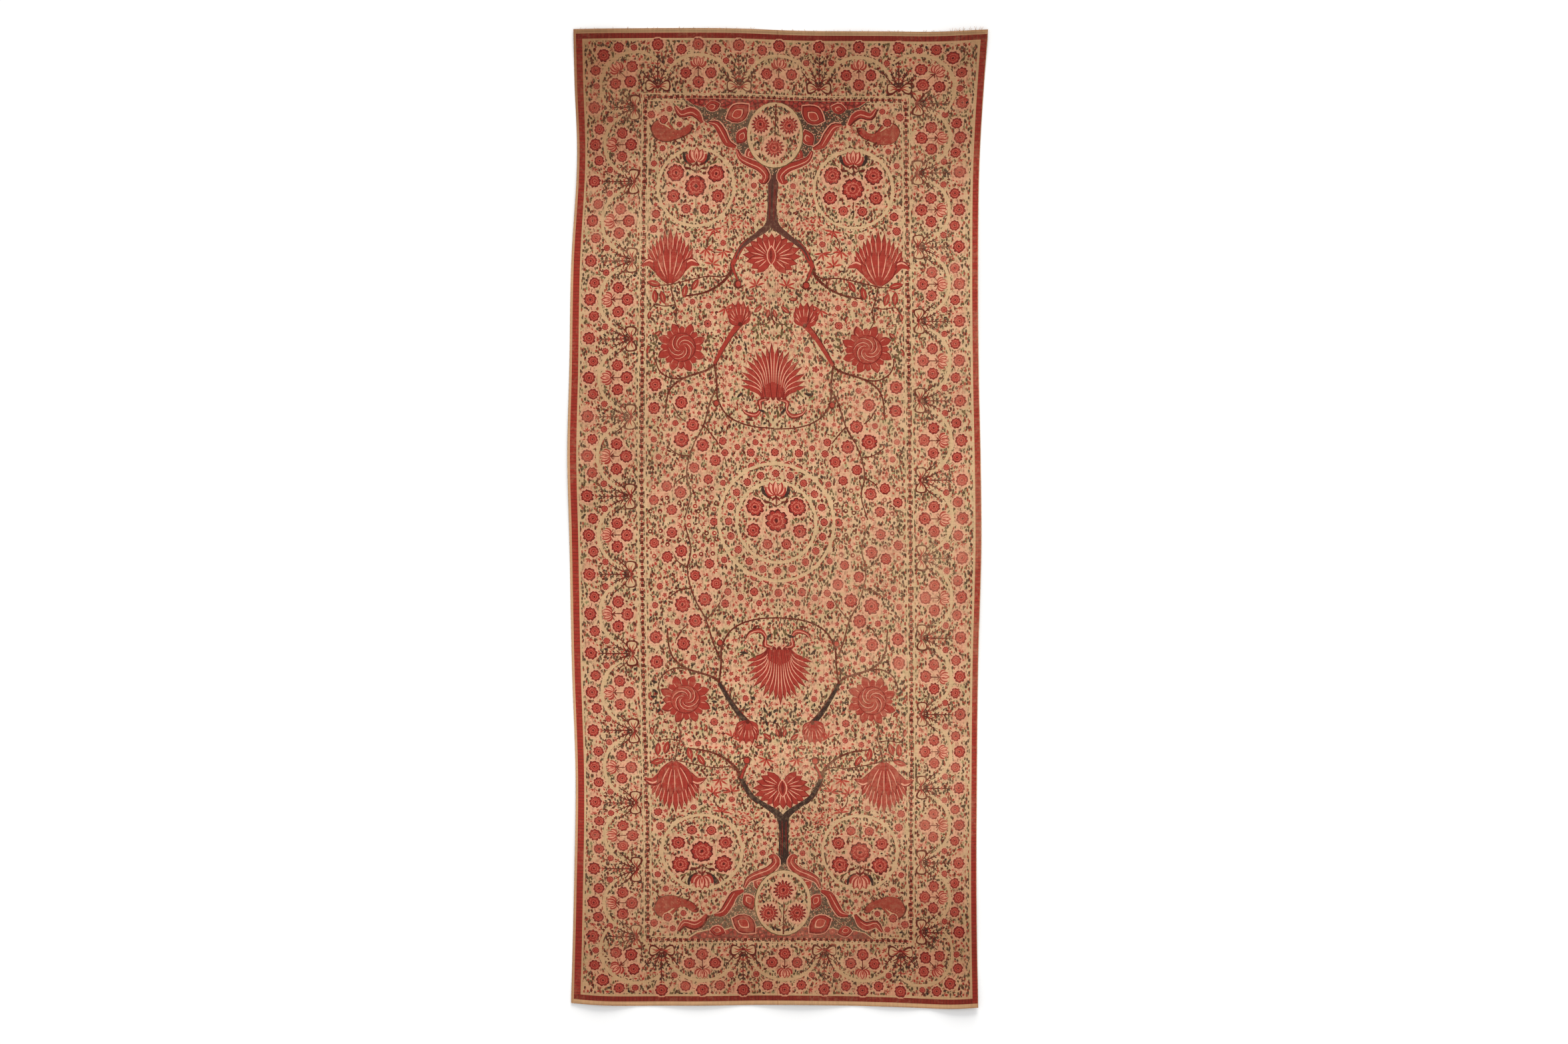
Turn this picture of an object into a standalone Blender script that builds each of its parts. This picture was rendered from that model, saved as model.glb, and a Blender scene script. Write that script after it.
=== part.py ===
"""Palampore: one long printed cotton cloth, laid out flat.

Metres, +Z up. The cloth lies on the plane z = 0, its length along Y and its width along X, with the
origin under the middle of its outline. It is one woven length in one piece: its selvedges wander, its
head flares at the corners, and its rim rises off the surface here and there in low waves, while the
rest of the underside is flat on z = 0. The printed design is colour alone, so the solid has none of it.
"""

import math

import bmesh
import bpy

NAME = "cloth"
THICKNESS = 0.002

# The two long edges: how far up the cloth from its middle, then where each edge is, from the middle line.
SELVEDGES = (
    # up, left, right
    (-1.290, -0.547, 0.531),
    (-1.020, -0.540, 0.527),
    (-0.700, -0.535, 0.528),
    (-0.390, -0.545, 0.531),
    (-0.040, -0.552, 0.540),
    (0.160, -0.557, 0.538),
    (0.390, -0.552, 0.533),
    (0.670, -0.547, 0.531),
    (0.980, -0.531, 0.536),
    (1.160, -0.538, 0.547),
    (1.290, -0.541, 0.557),
)

# The two cut ends: how far across the cloth, then how far each end is from the middle.
HEAD = (
    # across, up
    (-0.541, 1.300),
    (-0.300, 1.303),
    (-0.080, 1.301),
    (0.050, 1.296),
    (0.300, 1.294),
    (0.460, 1.294),
    (0.557, 1.299),
)
FOOT = (
    # across, up
    (-0.547, -1.279),
    (-0.500, -1.283),
    (-0.250, -1.286),
    (0.050, -1.284),
    (0.300, -1.289),
    (0.480, -1.294),
    (0.531, -1.291),
)

# Where the rim rises off the surface: which edge, where along it, half of its length there, how far it
# reaches into the cloth, and how high it stands at the very edge.
RIM_WAVES = (
    # edge, along, half length, reach, height
    ("foot", -0.470, 0.110, 0.100, 0.0070),
    ("foot", -0.210, 0.130, 0.075, 0.0045),
    ("foot", 0.060, 0.150, 0.090, 0.0060),
    ("foot", 0.310, 0.110, 0.070, 0.0040),
    ("foot", 0.500, 0.120, 0.130, 0.0090),
    ("head", -0.480, 0.120, 0.110, 0.0060),
    ("head", -0.150, 0.140, 0.060, 0.0035),
    ("head", 0.210, 0.150, 0.070, 0.0040),
    ("head", 0.500, 0.120, 0.120, 0.0080),
    ("left", -0.860, 0.260, 0.050, 0.0030),
    ("left", 0.150, 0.320, 0.060, 0.0035),
    ("left", 0.860, 0.200, 0.050, 0.0030),
    ("right", -1.050, 0.200, 0.060, 0.0040),
    ("right", -0.250, 0.300, 0.050, 0.0030),
    ("right", 0.620, 0.340, 0.060, 0.0035),
)

# Soft ridges left by old folds: where each one's middle is, half of its length and of its width, which
# way it runs, in degrees from the width of the cloth, and how high it stands.
OLD_FOLDS = (
    # across, up, half length, half width, turn, height
    (-0.060, 0.640, 0.430, 0.070, 2.0, 0.0022),
    (0.090, 0.010, 0.400, 0.080, -1.5, 0.0018),
    (-0.050, -0.650, 0.440, 0.070, 1.0, 0.0022),
    (0.020, -0.330, 0.240, 0.060, 88.0, 0.0016),
    (-0.010, 0.990, 0.220, 0.060, 91.0, 0.0016),
)

# The mesh: rows are closer together near the rim, where the waves are.
CELLS_ACROSS = 26
CELLS_ALONG = 58
CROWDING = 0.80

DYED_COTTON = (0.46, 0.22, 0.12, 1.0)
ROUGHNESS = 0.92


def clear_scene():
    for item in list(bpy.data.objects):
        bpy.data.objects.remove(item, do_unlink=True)


def read_smoothly(rows, column, at):
    """The value in a column of a table at a place, on a smooth curve through its rows."""
    place = [row[0] for row in rows]
    value = [row[column] for row in rows]
    at = min(max(at, place[0]), place[-1])
    last = len(rows) - 1
    i = max(k for k in range(last) if place[k] <= at)
    low, high = max(i - 1, 0), min(i + 2, last)
    gap = place[i + 1] - place[i]
    slope_in = (value[i + 1] - value[low]) / (place[i + 1] - place[low])
    slope_out = (value[high] - value[i]) / (place[high] - place[i])
    t = (at - place[i]) / gap
    blend = t * t * (3.0 - 2.0 * t)
    start = slope_in * gap * t * (1.0 - t) ** 2
    end = slope_out * gap * t * t * (1.0 - t)
    return value[i] * (1.0 - blend) + value[i + 1] * blend + start - end


def mix(low, high, t):
    return low + (high - low) * t


def hump(t):
    """One soft hump: 1 in the middle, 0 from t = 1 outwards."""
    return (1.0 - t * t) ** 2 if abs(t) < 1.0 else 0.0


def outline_box():
    """The lowest and highest X and Y of the tables above."""
    return (
        min(row[1] for row in SELVEDGES),
        max(row[2] for row in SELVEDGES),
        min(row[1] for row in FOOT),
        max(row[1] for row in HEAD),
    )


def rim_height(x, y, from_edge):
    total = 0.0
    for edge, along, half_length, reach, height in RIM_WAVES:
        place = x if edge in ("foot", "head") else y
        total += height * hump((place - along) / half_length) * hump(from_edge[edge] / reach)
    return total


def fold_height(x, y):
    total = 0.0
    for across, up, half_length, half_width, turn, height in OLD_FOLDS:
        cos, sin = math.cos(math.radians(turn)), math.sin(math.radians(turn))
        lengthways = (x - across) * cos + (y - up) * sin
        sideways = (y - up) * cos - (x - across) * sin
        total += height * hump(lengthways / half_length) * hump(sideways / half_width)
    return total


def crowded(t):
    """Moves places evenly spaced from -1 to 1 closer together towards both ends."""
    quarter = CROWDING * math.pi / 2.0
    return math.sin(quarter * t) / math.sin(quarter)


def lay(bm):
    """Moves a square grid, from -1 to 1 each way, to where the cloth lies."""
    left, right, foot, head = outline_box()
    middle_x, middle_y = (left + right) / 2.0, (foot + head) / 2.0
    for vert in bm.verts:
        across = (crowded(vert.co.x) + 1.0) / 2.0
        along = (crowded(vert.co.y) + 1.0) / 2.0
        y = mix(foot, head, along)
        west, east = read_smoothly(SELVEDGES, 1, y), read_smoothly(SELVEDGES, 2, y)
        x = mix(west, east, across)
        south, north = read_smoothly(FOOT, 1, x), read_smoothly(HEAD, 1, x)
        y = mix(south, north, along)
        from_edge = {"left": x - west, "right": east - x, "foot": y - south, "head": north - y}
        z = rim_height(x, y, from_edge) + fold_height(x, y)
        vert.co = (x - middle_x, y - middle_y, z)


def make_material():
    material = bpy.data.materials.new("dyed_cotton")
    material.use_nodes = True
    shader = material.node_tree.nodes["Principled BSDF"]
    shader.inputs["Base Color"].default_value = DYED_COTTON
    shader.inputs["Roughness"].default_value = ROUGHNESS
    shader.inputs["Metallic"].default_value = 0.0
    return material


def make_cloth(collection):
    bm = bmesh.new()
    bmesh.ops.create_grid(bm, x_segments=CELLS_ACROSS, y_segments=CELLS_ALONG, size=1.0)
    lay(bm)
    mesh = bpy.data.meshes.new(NAME)
    bm.to_mesh(mesh)
    bm.free()
    mesh.shade_smooth()
    mesh.materials.append(make_material())
    cloth = bpy.data.objects.new(NAME, mesh)
    collection.objects.link(cloth)
    wall = cloth.modifiers.new("weight of the cloth", "SOLIDIFY")
    wall.thickness = THICKNESS
    wall.offset = 1.0
    return cloth


def main():
    clear_scene()
    collection = bpy.data.collections.new("palampore")
    bpy.context.scene.collection.children.link(collection)
    make_cloth(collection)


main()
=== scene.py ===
# %% [markdown]
# # A hand-printed palampore
# A palampore is a long cotton cloth, printed from carved wood blocks and finished by brush: a tree of
# life in the field, and a border of flower garlands tied with bows. It lies flat on a pale floor.
# The whole cloth is one mesh. Its printed shapes are faces of that mesh, so each dye is a material.
# Everything is placed from the fixed frame, which is loaded first.

# %% Load the fixed frame
import math
import random

import bmesh
import bpy
import numpy as np
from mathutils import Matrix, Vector
from mathutils.geometry import delaunay_2d_cdt


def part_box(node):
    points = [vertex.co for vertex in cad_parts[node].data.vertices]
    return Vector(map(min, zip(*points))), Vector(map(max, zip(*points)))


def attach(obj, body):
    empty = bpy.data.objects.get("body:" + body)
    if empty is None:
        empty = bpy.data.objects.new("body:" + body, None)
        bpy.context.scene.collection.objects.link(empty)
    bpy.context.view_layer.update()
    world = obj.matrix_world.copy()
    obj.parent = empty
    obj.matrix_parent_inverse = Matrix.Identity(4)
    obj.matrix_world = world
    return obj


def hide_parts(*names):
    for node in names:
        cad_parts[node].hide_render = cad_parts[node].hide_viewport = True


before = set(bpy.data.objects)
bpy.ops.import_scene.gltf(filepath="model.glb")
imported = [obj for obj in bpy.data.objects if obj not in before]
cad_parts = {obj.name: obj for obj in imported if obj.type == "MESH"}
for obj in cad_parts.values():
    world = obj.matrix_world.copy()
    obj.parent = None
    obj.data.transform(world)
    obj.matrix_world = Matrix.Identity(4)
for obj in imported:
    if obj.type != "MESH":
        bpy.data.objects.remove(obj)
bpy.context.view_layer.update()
LOW, HIGH = (np.array(corner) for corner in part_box("cloth"))
MIDDLE = (LOW + HIGH) / 2
MM = 0.001
print("the cloth's box is", (HIGH - LOW).round(4), "m")

# %% [markdown]
# ## The shape the cloth lies in
# A hand-woven cloth is never a true rectangle: its selvedges wander, and washing and hanging pull the
# print along. So the design is drawn on a perfect rectangle, and these tables say where its main lines
# lie on the real cloth. The curve between the rows is smooth. The rim stands off the floor in low waves.

# %% Tables of the cloth's shape
HALF_WIDTH, HALF_LENGTH = 0.540, 1.300  # the design's rectangle
GUARD_X, GUARD_Y = 0.350, 1.118  # the dotted line between the border and the field
THICK = 0.9 * MM

SELVEDGES = (
    # up, left edge, right edge
    (-1.290, -0.547, 0.531),
    (-1.020, -0.540, 0.527),
    (-0.700, -0.535, 0.528),
    (-0.390, -0.545, 0.531),
    (-0.040, -0.552, 0.540),
    (0.160, -0.557, 0.538),
    (0.390, -0.552, 0.533),
    (0.670, -0.547, 0.531),
    (0.980, -0.531, 0.536),
    (1.160, -0.538, 0.547),
    (1.290, -0.541, 0.557),
)
PRINTED_LINES = (
    # up, left dotted line, middle line, right dotted line
    (-1.120, -0.344, 0.014, 0.353),
    (-0.860, -0.345, 0.016, 0.353),
    (-0.560, -0.352, 0.009, 0.355),
    (0.000, -0.360, -0.003, 0.351),
    (0.400, -0.359, -0.014, 0.347),
    (0.700, -0.356, -0.017, 0.344),
    (0.900, -0.353, -0.012, 0.341),
    (1.120, -0.349, -0.005, 0.339),
)
PRINTED_ROWS = (
    # up in the design, up on the cloth
    (-1.300, -1.294),
    (-1.118, -1.119),
    (-0.880, -0.884),
    (-0.695, -0.713),
    (-0.400, -0.426),
    (0.000, -0.007),
    (0.700, 0.702),
    (1.118, 1.120),
    (1.300, 1.303),
)
HEAD = (
    # across, up
    (-0.541, 1.300),
    (-0.300, 1.303),
    (-0.080, 1.301),
    (0.050, 1.296),
    (0.300, 1.294),
    (0.460, 1.294),
    (0.557, 1.299),
)
FOOT = (
    # across, up
    (-0.547, -1.279),
    (-0.500, -1.283),
    (-0.250, -1.286),
    (0.050, -1.284),
    (0.300, -1.289),
    (0.480, -1.294),
    (0.531, -1.291),
)
RIM_WAVES = (
    # edge, along, half length, reach, height
    ("foot", -0.470, 0.110, 0.100, 0.0070),
    ("foot", -0.210, 0.130, 0.075, 0.0045),
    ("foot", 0.060, 0.150, 0.090, 0.0060),
    ("foot", 0.310, 0.110, 0.070, 0.0040),
    ("foot", 0.500, 0.120, 0.130, 0.0090),
    ("head", -0.480, 0.120, 0.110, 0.0060),
    ("head", -0.150, 0.140, 0.060, 0.0035),
    ("head", 0.210, 0.150, 0.070, 0.0040),
    ("head", 0.500, 0.120, 0.120, 0.0080),
    ("left", -0.860, 0.260, 0.050, 0.0030),
    ("left", 0.150, 0.320, 0.060, 0.0035),
    ("left", 0.860, 0.200, 0.050, 0.0030),
    ("right", -1.050, 0.200, 0.060, 0.0040),
    ("right", -0.250, 0.300, 0.050, 0.0030),
    ("right", 0.620, 0.340, 0.060, 0.0035),
)
OLD_FOLDS = (
    # across, up, half length, half width, turn, height
    (-0.060, 0.640, 0.430, 0.070, 2.0, 0.0022),
    (0.090, 0.010, 0.400, 0.080, -1.5, 0.0018),
    (-0.050, -0.650, 0.440, 0.070, 1.0, 0.0022),
    (0.020, -0.330, 0.240, 0.060, 88.0, 0.0016),
    (-0.010, 0.990, 0.220, 0.060, 91.0, 0.0016),
)
print(len(RIM_WAVES), "waves in the rim,", len(OLD_FOLDS), "old folds")

# %% [markdown]
# ## From the design to the cloth
# Each table becomes a smooth curve. Then one function carries any points of the design to their place
# on the cloth, and another gives the height at which the cloth lies there.

# %% Carry points from the design to the cloth
def smooth_curve(rows, column, samples=600):
    """Places and values of a smooth curve through one column of a table, for np.interp."""
    place = np.array([row[0] for row in rows])
    value = np.array([row[column] for row in rows])
    slope = np.gradient(value, place)
    at = np.linspace(place[0], place[-1], samples)
    i = np.clip(np.searchsorted(place, at, side="right") - 1, 0, len(place) - 2)
    gap = place[i + 1] - place[i]
    t = (at - place[i]) / gap
    ends = value[i] * (1 + 2 * t) * (1 - t) ** 2 + value[i + 1] * t * t * (3 - 2 * t)
    slopes = slope[i] * gap * t * (1 - t) ** 2 - slope[i + 1] * gap * t * t * (1 - t)
    return at, ends + slopes


CURVES = {
    "left": smooth_curve(SELVEDGES, 1),
    "right": smooth_curve(SELVEDGES, 2),
    "left guard": smooth_curve(PRINTED_LINES, 1),
    "middle": smooth_curve(PRINTED_LINES, 2),
    "right guard": smooth_curve(PRINTED_LINES, 3),
    "rows": smooth_curve(PRINTED_ROWS, 1),
    "head": smooth_curve(HEAD, 1),
    "foot": smooth_curve(FOOT, 1),
}
FOOT_END, HEAD_END = min(row[1] for row in FOOT), max(row[1] for row in HEAD)
OFFSET = MIDDLE[:2] - np.array(
    [
        (min(row[1] for row in SELVEDGES) + max(row[2] for row in SELVEDGES)) / 2,
        (FOOT_END + HEAD_END) / 2,
    ]
)


def read(name, at):
    return np.interp(at, *CURVES[name])


def to_cloth(points):
    """Carries design points, one in each row, to where they lie on the cloth."""
    design_x = np.clip(points[:, 0], -HALF_WIDTH, HALF_WIDTH)
    y = read("rows", points[:, 1])
    knots = (-HALF_WIDTH, -GUARD_X, 0.0, GUARD_X, HALF_WIDTH)
    lines = [read(name, y) for name in ("left", "left guard", "middle", "right guard", "right")]
    x = np.zeros(len(points))
    for k in range(4):
        inside = (design_x >= knots[k]) & ((design_x < knots[k + 1]) | (k == 3))
        t = (design_x - knots[k]) / (knots[k + 1] - knots[k])
        x = np.where(inside, lines[k] + (lines[k + 1] - lines[k]) * t, x)
    along = (y - FOOT_END) / (HEAD_END - FOOT_END)
    y = read("foot", x) + (read("head", x) - read("foot", x)) * along
    return np.column_stack((x, y))


def hump(t):
    """One soft hump: 1 in the middle, 0 from t = 1 outwards."""
    return np.where(np.abs(t) < 1, (1 - t * t) ** 2, 0.0)


def lie(points):
    """The height of the cloth's underside over each of these points of the cloth."""
    x, y = points.T
    from_edge = {
        "left": x - read("left", y),
        "right": read("right", y) - x,
        "foot": y - read("foot", x),
        "head": read("head", x) - y,
    }
    z = np.zeros(len(points))
    for edge, along, half_length, reach, height in RIM_WAVES:
        place = x if edge in ("foot", "head") else y
        z += height * hump((place - along) / half_length) * hump(from_edge[edge] / reach)
    for across, up, half_length, half_width, turn, height in OLD_FOLDS:
        cos, sin = math.cos(math.radians(turn)), math.sin(math.radians(turn))
        lengthways = (x - across) * cos + (y - up) * sin
        sideways = (y - up) * cos - (x - across) * sin
        z += height * hump(lengthways / half_length) * hump(sideways / half_width)
    return z


rectangle = [(x * HALF_WIDTH, y * HALF_LENGTH) for x in (-1, 1) for y in (-1, 1)]
corners = to_cloth(np.array(rectangle))
print("the corners lie at", corners.round(3).tolist())

# %% [markdown]
# ## The printer's kit
# A printed shape is a closed outline filled with one ink. Later shapes cover earlier ones, as on the
# real cloth. A Block holds shapes drawn round its own middle, like a carved wood block, and `stamp`
# prints it anywhere, turned, mirrored or squeezed, with the small slips of a hand. Some inks draw a
# pattern inside their shape, such as a rosette's petals, so those shapes carry their own axes.

# %% Shapes, blocks and stamping
hand = random.Random(7)
PRINT = []  # rows of outline, ink, axes and strength of dye, in drawing order


def mm(*points):
    """Points given in millimetres, as rows in metres."""
    return np.array(points, float) * MM


def ring(radius, count=12, x=0.0, y=0.0, flat=1.0, turn=0.0):
    """An even circle or oval of points."""
    angles = np.arange(count) * 2 * math.pi / count + turn
    return np.column_stack((x + radius * np.cos(angles), y + radius * flat * np.sin(angles)))


def bend(points, steps=3):
    """A smooth path through a few points, with some steps between each two."""
    points = np.array(points, float)
    if len(points) < 3:
        return points
    slope = np.gradient(points, axis=0)
    path = [points[0]]
    for k in range(len(points) - 1):
        for step in range(1, steps + 1):
            t = step / steps
            path.append(
                points[k] * (1 + 2 * t) * (1 - t) ** 2
                + points[k + 1] * t * t * (3 - 2 * t)
                + slope[k] * t * (1 - t) ** 2
                - slope[k + 1] * t * t * (1 - t)
            )
    return np.array(path)


def tongue(path, widths):
    """The outline of a brush stroke along a path. Its widths are spread evenly from start to end."""
    path = np.array(path, float)
    run = np.gradient(path, axis=0)
    run /= np.maximum(np.linalg.norm(run, axis=1), 1e-9)[:, None]
    side = np.column_stack((-run[:, 1], run[:, 0]))
    width = np.interp(np.linspace(0, 1, len(path)), np.linspace(0, 1, len(widths)), widths)
    half = side * width[:, None] / 2
    left, right = path + half, path - half
    if width[-1] == 0:
        right = right[:-1]
    if width[0] == 0:
        right = right[1:]
    return np.vstack((left, right[::-1]))


def rotated(points, turn):
    cos, sin = math.cos(turn), math.sin(turn)
    return points @ np.array(((cos, sin), (-sin, cos)))


def leaf(length, width, x=0.0, y=0.0, turn=0.0, lean=0.0, steps=4):
    """A pointed leaf from (x, y). At turn 0 it points up, and lean curls its tip to the left."""
    t = np.linspace(0, 1, steps + 1)
    path = np.column_stack((-lean * length * t * t, length * t))
    outline = tongue(path, [0, *(width * np.sin(math.pi * t[1:-1]) ** 0.8), 0])
    return rotated(outline, turn) + (x, y)


class Block:
    """Shapes drawn round (0, 0), to be stamped as one."""

    def __init__(self):
        self.shapes = []

    def lay(self, outline, ink, axes=None):
        self.shapes.append((np.array(outline, float), ink, axes))

    def stroke(self, points, widths, ink, steps=3):
        self.lay(tongue(bend(points, steps), widths), ink)

    def cell(self, ink, radius, x=0.0, y=0.0, turn=0.0, reach=1.2, count=10):
        """A round patch in which a patterned ink draws its flower, with a little cotton round it."""
        self.lay(ring(radius * reach, count, x, y, turn=turn), ink, (x, y, turn, radius))

    def leaves(self, rows, side, share, lean=0.0, steps=4):
        """Leaves beside a stem, from rows of across, up, turn, length in mm and ink."""
        for x, y, turn, length, ink in rows:
            length *= MM
            turn *= -side
            self.lay(leaf(length, length * share, side * x * MM, y * MM, turn, lean, steps), ink)

    def add(self, other, x=0.0, y=0.0, turn=0.0, mirror=1, squeeze=1.0):
        """Draws another block's shapes in this one. Squeeze makes it narrower and leaves its height."""
        scale = np.array((mirror * squeeze, 1.0))
        for outline, ink, axes in other.shapes:
            moved = rotated(outline * scale, turn) + (x, y)
            if axes is not None:
                middle = rotated(np.array([axes[:2]]) * scale, turn)[0] + (x, y)
                axes = (*middle, turn + mirror * axes[2], axes[3])
            self.shapes.append((moved, ink, axes))


EDGE = np.array((HALF_WIDTH - 0.4 * MM, HALF_LENGTH - 0.4 * MM))  # no print comes nearer to the rim
SLIP = 0.6 * MM  # how far off a shape mostly lands


def stamp(block, x=0.0, y=0.0, turn=0.0, mirror=1, squeeze=1.0):
    """Prints a block on the design. Each shape lands a little off, and with more or less dye."""
    printed = Block()
    printed.add(block, x, y, turn, mirror, squeeze)
    load = hand.uniform(0.92, 1.06)
    for outline, ink, axes in printed.shapes:
        shift = np.array((hand.gauss(0, SLIP), hand.gauss(0, SLIP)))
        if axes is not None:
            axes = (axes[0] + shift[0], axes[1] + shift[1], *axes[2:])
        PRINT.append((np.clip(outline + shift, -EDGE, EDGE), ink, axes, load * hand.uniform(0.93, 1.07)))


print("the kit is ready")

# %% [markdown]
# ## Small motifs
# These are the printer's alphabet: almond leaves, buds, lilies, the open lotus, the bow that ties the
# garlands and the ferns that fan out from it. Most are drawn twice, dark and then a little smaller in
# red, which leaves a dark outline.

# %% Small motifs
LINE = 1.3 * MM


def almond(length):
    """A single almond leaf with a dark edge and a light vein."""
    block = Block()
    width = length * 0.46
    block.lay(leaf(length, width, steps=6), "outline")
    block.lay(leaf(length - 2.4 * LINE, width - 2.2 * LINE, y=1.2 * LINE, steps=6), "madder")
    block.lay(leaf(length * 0.55, 1.5 * MM, y=length * 0.2, steps=3), "pale")
    return block


def bud(size):
    """A round bud between two small sepals."""
    block = Block()
    for side in (-1, 1):
        block.lay(leaf(size * 1.3, size * 0.45, y=-size, turn=side * 0.75, lean=side * 0.2), "outline")
    block.lay(ring(size * 0.78, 8, flat=1.1), "outline")
    block.lay(ring(size * 0.55, 7, flat=1.1), "bright madder")
    return block


def lily(size, petals=5):
    """A star of thin petals that opens upwards, on a dark cup."""
    block = Block()
    for k in range(petals):
        turn = (k / (petals - 1) - 0.5) * 2.7
        block.lay(leaf(size, size * 0.24, turn=turn, lean=0.15 * turn), "bright madder")
    block.lay(leaf(size * 0.45, size * 0.2, y=-size * 0.3), "outline")
    return block


LOTUS_PETALS = (
    # turn, length and lean of each petal, the outer ones first
    (1.15, 1.35, -0.35), (-1.15, 1.35, 0.35), (0.5, 1.65, -0.12), (-0.5, 1.65, 0.12), (0.0, 1.75, 0.0),
)


def open_lotus(size):
    """The lotus in outline: five petals edged in red and left nearly bare, on a red foot."""
    block = Block()
    for turn, length, lean in LOTUS_PETALS:
        x, y = -0.2 * size * math.sin(turn), -0.6 * size
        block.lay(leaf(size * length, size * 0.78, x, y, turn, lean, steps=6), "madder")
        y += 0.13 * size
        block.lay(leaf(size * (length - 0.26), size * 0.44, x, y, turn, lean, steps=5), "blush")
    block.lay(leaf(size * 0.8, size * 0.22, y=-size * 0.35, steps=3), "bright madder")
    for side in (-1, 1):
        x, y = side * size * 0.1, -size * 0.7
        block.lay(leaf(size * 0.7, size * 0.26, x, y, side * 1.9, side * 0.4), "deep madder")
    block.lay(leaf(size * 0.55, size * 0.3, y=-size * 1.0), "outline")
    return block


BOW_LOOP = (
    # the right loop's outline, when the bow's half width is 1
    (0.0, 0.04), (0.28, 0.30), (0.60, 0.54), (0.92, 0.50),
    (1.0, 0.10), (0.88, -0.36), (0.52, -0.34), (0.22, -0.10),
)


def bow(size=34 * MM):
    """A ribbon bow: two rounded loops in a dark line, with two red folds in each, and a knot."""
    block = Block()
    for side in (-1, 1):
        scale = (side * size, size)
        loop = bend(np.array(BOW_LOOP + BOW_LOOP[:1]) * scale, 2)[:-1]
        middle = loop.mean(axis=0)
        block.lay(loop, "outline")
        block.lay(middle + (loop - middle) * (0.77, 0.70), "pale")
        for end in (0.30, -0.14):
            fold = np.array(((0.1, 0.0), (0.45, 0.1 + 0.4 * end), (0.80, end))) * scale
            block.lay(tongue(fold, [2.8 * MM, 3.4 * MM, 0]), "madder")
        tail = np.array(((0.10, 0.20), (0.30, 0.62), (0.62, 0.80))) * scale
        block.stroke(tail, [3.6 * MM, 2.6 * MM], "outline", steps=2)
    block.lay(ring(5.4 * MM, 6), "deep madder")
    return block


BARB_INKS = ("iron black", "bright madder", "outline")


def fern(points, barbs=7, reach=9 * MM, width=4.0 * MM):
    """A stalk along a few points, with short barbs on both sides, dark and red in turn."""
    block = Block()
    path = bend(points, 3)
    block.lay(tongue(path, [width, width * 0.6]), "outline")
    along = np.linspace(0, 1, len(path))
    for k in range(barbs):
        t = (k + 0.7) / (barbs + 0.5)
        x, y = np.interp(t, along, path[:, 0]), np.interp(t, along, path[:, 1])
        i = min(int(t * (len(path) - 1)), len(path) - 2)
        way = path[i + 1] - path[i]
        heading = math.atan2(-way[0], way[1])
        for side in (-1, 1):
            barb = leaf(reach, reach * 0.42, x, y, turn=heading + side * 0.8, steps=2)
            block.lay(barb, BARB_INKS[k % 3])
    return block


print("a bow has", len(bow().shapes), "shapes")

# %% [markdown]
# ## The border's two blocks
# The border needs only two carved blocks. One prints an arch: a pale garland with flowers outside it,
# and a bouquet inside it. The other prints the bow between two arches, with a feathered stalk that
# carries a rosette. In both, x runs along the border and y outwards from the dotted line. A corner is
# the arch again, turned by 45 degrees.

# %% The border's blocks
ARCH = 207 * MM  # from bow to bow
ARC_RADIUS, ARC_RISE = 92 * MM, 21 * MM


def arch_block():
    block = Block()
    angles = np.radians(np.linspace(4, 176, 15))
    arc = np.column_stack((ARC_RADIUS * np.cos(angles), ARC_RISE + ARC_RADIUS * np.sin(angles)))
    block.lay(tongue(arc, [6 * MM, 8.5 * MM, 8.5 * MM, 8.5 * MM, 6 * MM]), "pale")
    for k in range(1, 14):
        out = np.array((math.cos(angles[k]), math.sin(angles[k])))
        turn = angles[k] + (0.6 if k % 2 else -0.6)
        for radius, ink in ((ARC_RADIUS - 8 * MM, "olive"), (ARC_RADIUS + 7.5 * MM, "outline")):
            x, y = out * radius + (0, ARC_RISE)
            block.lay(leaf(6.5 * MM, 2.4 * MM, x, y, turn, steps=2), ink)
    for side in (-1, 1):
        block.stroke(mm((side * 62, 108), (side * 44, 128), (0, 140)), [1.6 * MM], "outline")
        block.cell("rosette", 14.5 * MM, side * 44 * MM, 127 * MM, turn=side * 0.3)
        block.cell("rosette", 9.0 * MM, side * 71 * MM, 97 * MM, count=9)
        for turn in (0.5, 1.5):
            sepal = leaf(9 * MM, 4 * MM, side * 73 * MM, 106 * MM, turn=-side * turn, steps=3)
            block.lay(sepal, "outline")
        block.stroke(mm((0, 84), (side * 14, 76), (side * 30, 66)), [1.8 * MM], "outline")
        block.cell("rosette", 16 * MM, side * 32 * MM, 64.5 * MM, turn=side * 0.2)
    block.cell("rosette", 17 * MM, 0, 40 * MM)
    block.cell("rosette", 17 * MM, 0, 139 * MM)
    block.stroke(mm((0, 56), (0, 84)), [2.6 * MM, 2.2 * MM], "outline")
    block.add(open_lotus(16 * MM), y=90 * MM)
    return block


def bow_block():
    block = Block()
    for side in (-1, 1):
        block.add(fern(mm((side * 3, 34), (side * 12, 58), (side * 26, 84)), barbs=5))
        block.add(fern(mm((side * 6, 32), (side * 24, 46), (side * 46, 74)), barbs=4, reach=8 * MM))
    block.add(fern(mm((0, 34), (0, 80), (0, 122)), barbs=8, reach=10 * MM))
    block.cell("rosette", 17 * MM, 0, 139 * MM)
    block.add(bow(), y=27 * MM)
    return block


ARCH_BLOCK, BOW_BLOCK = arch_block(), bow_block()
print("the arch block has", len(ARCH_BLOCK.shapes), "shapes, the bow block", len(BOW_BLOCK.shapes))

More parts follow.
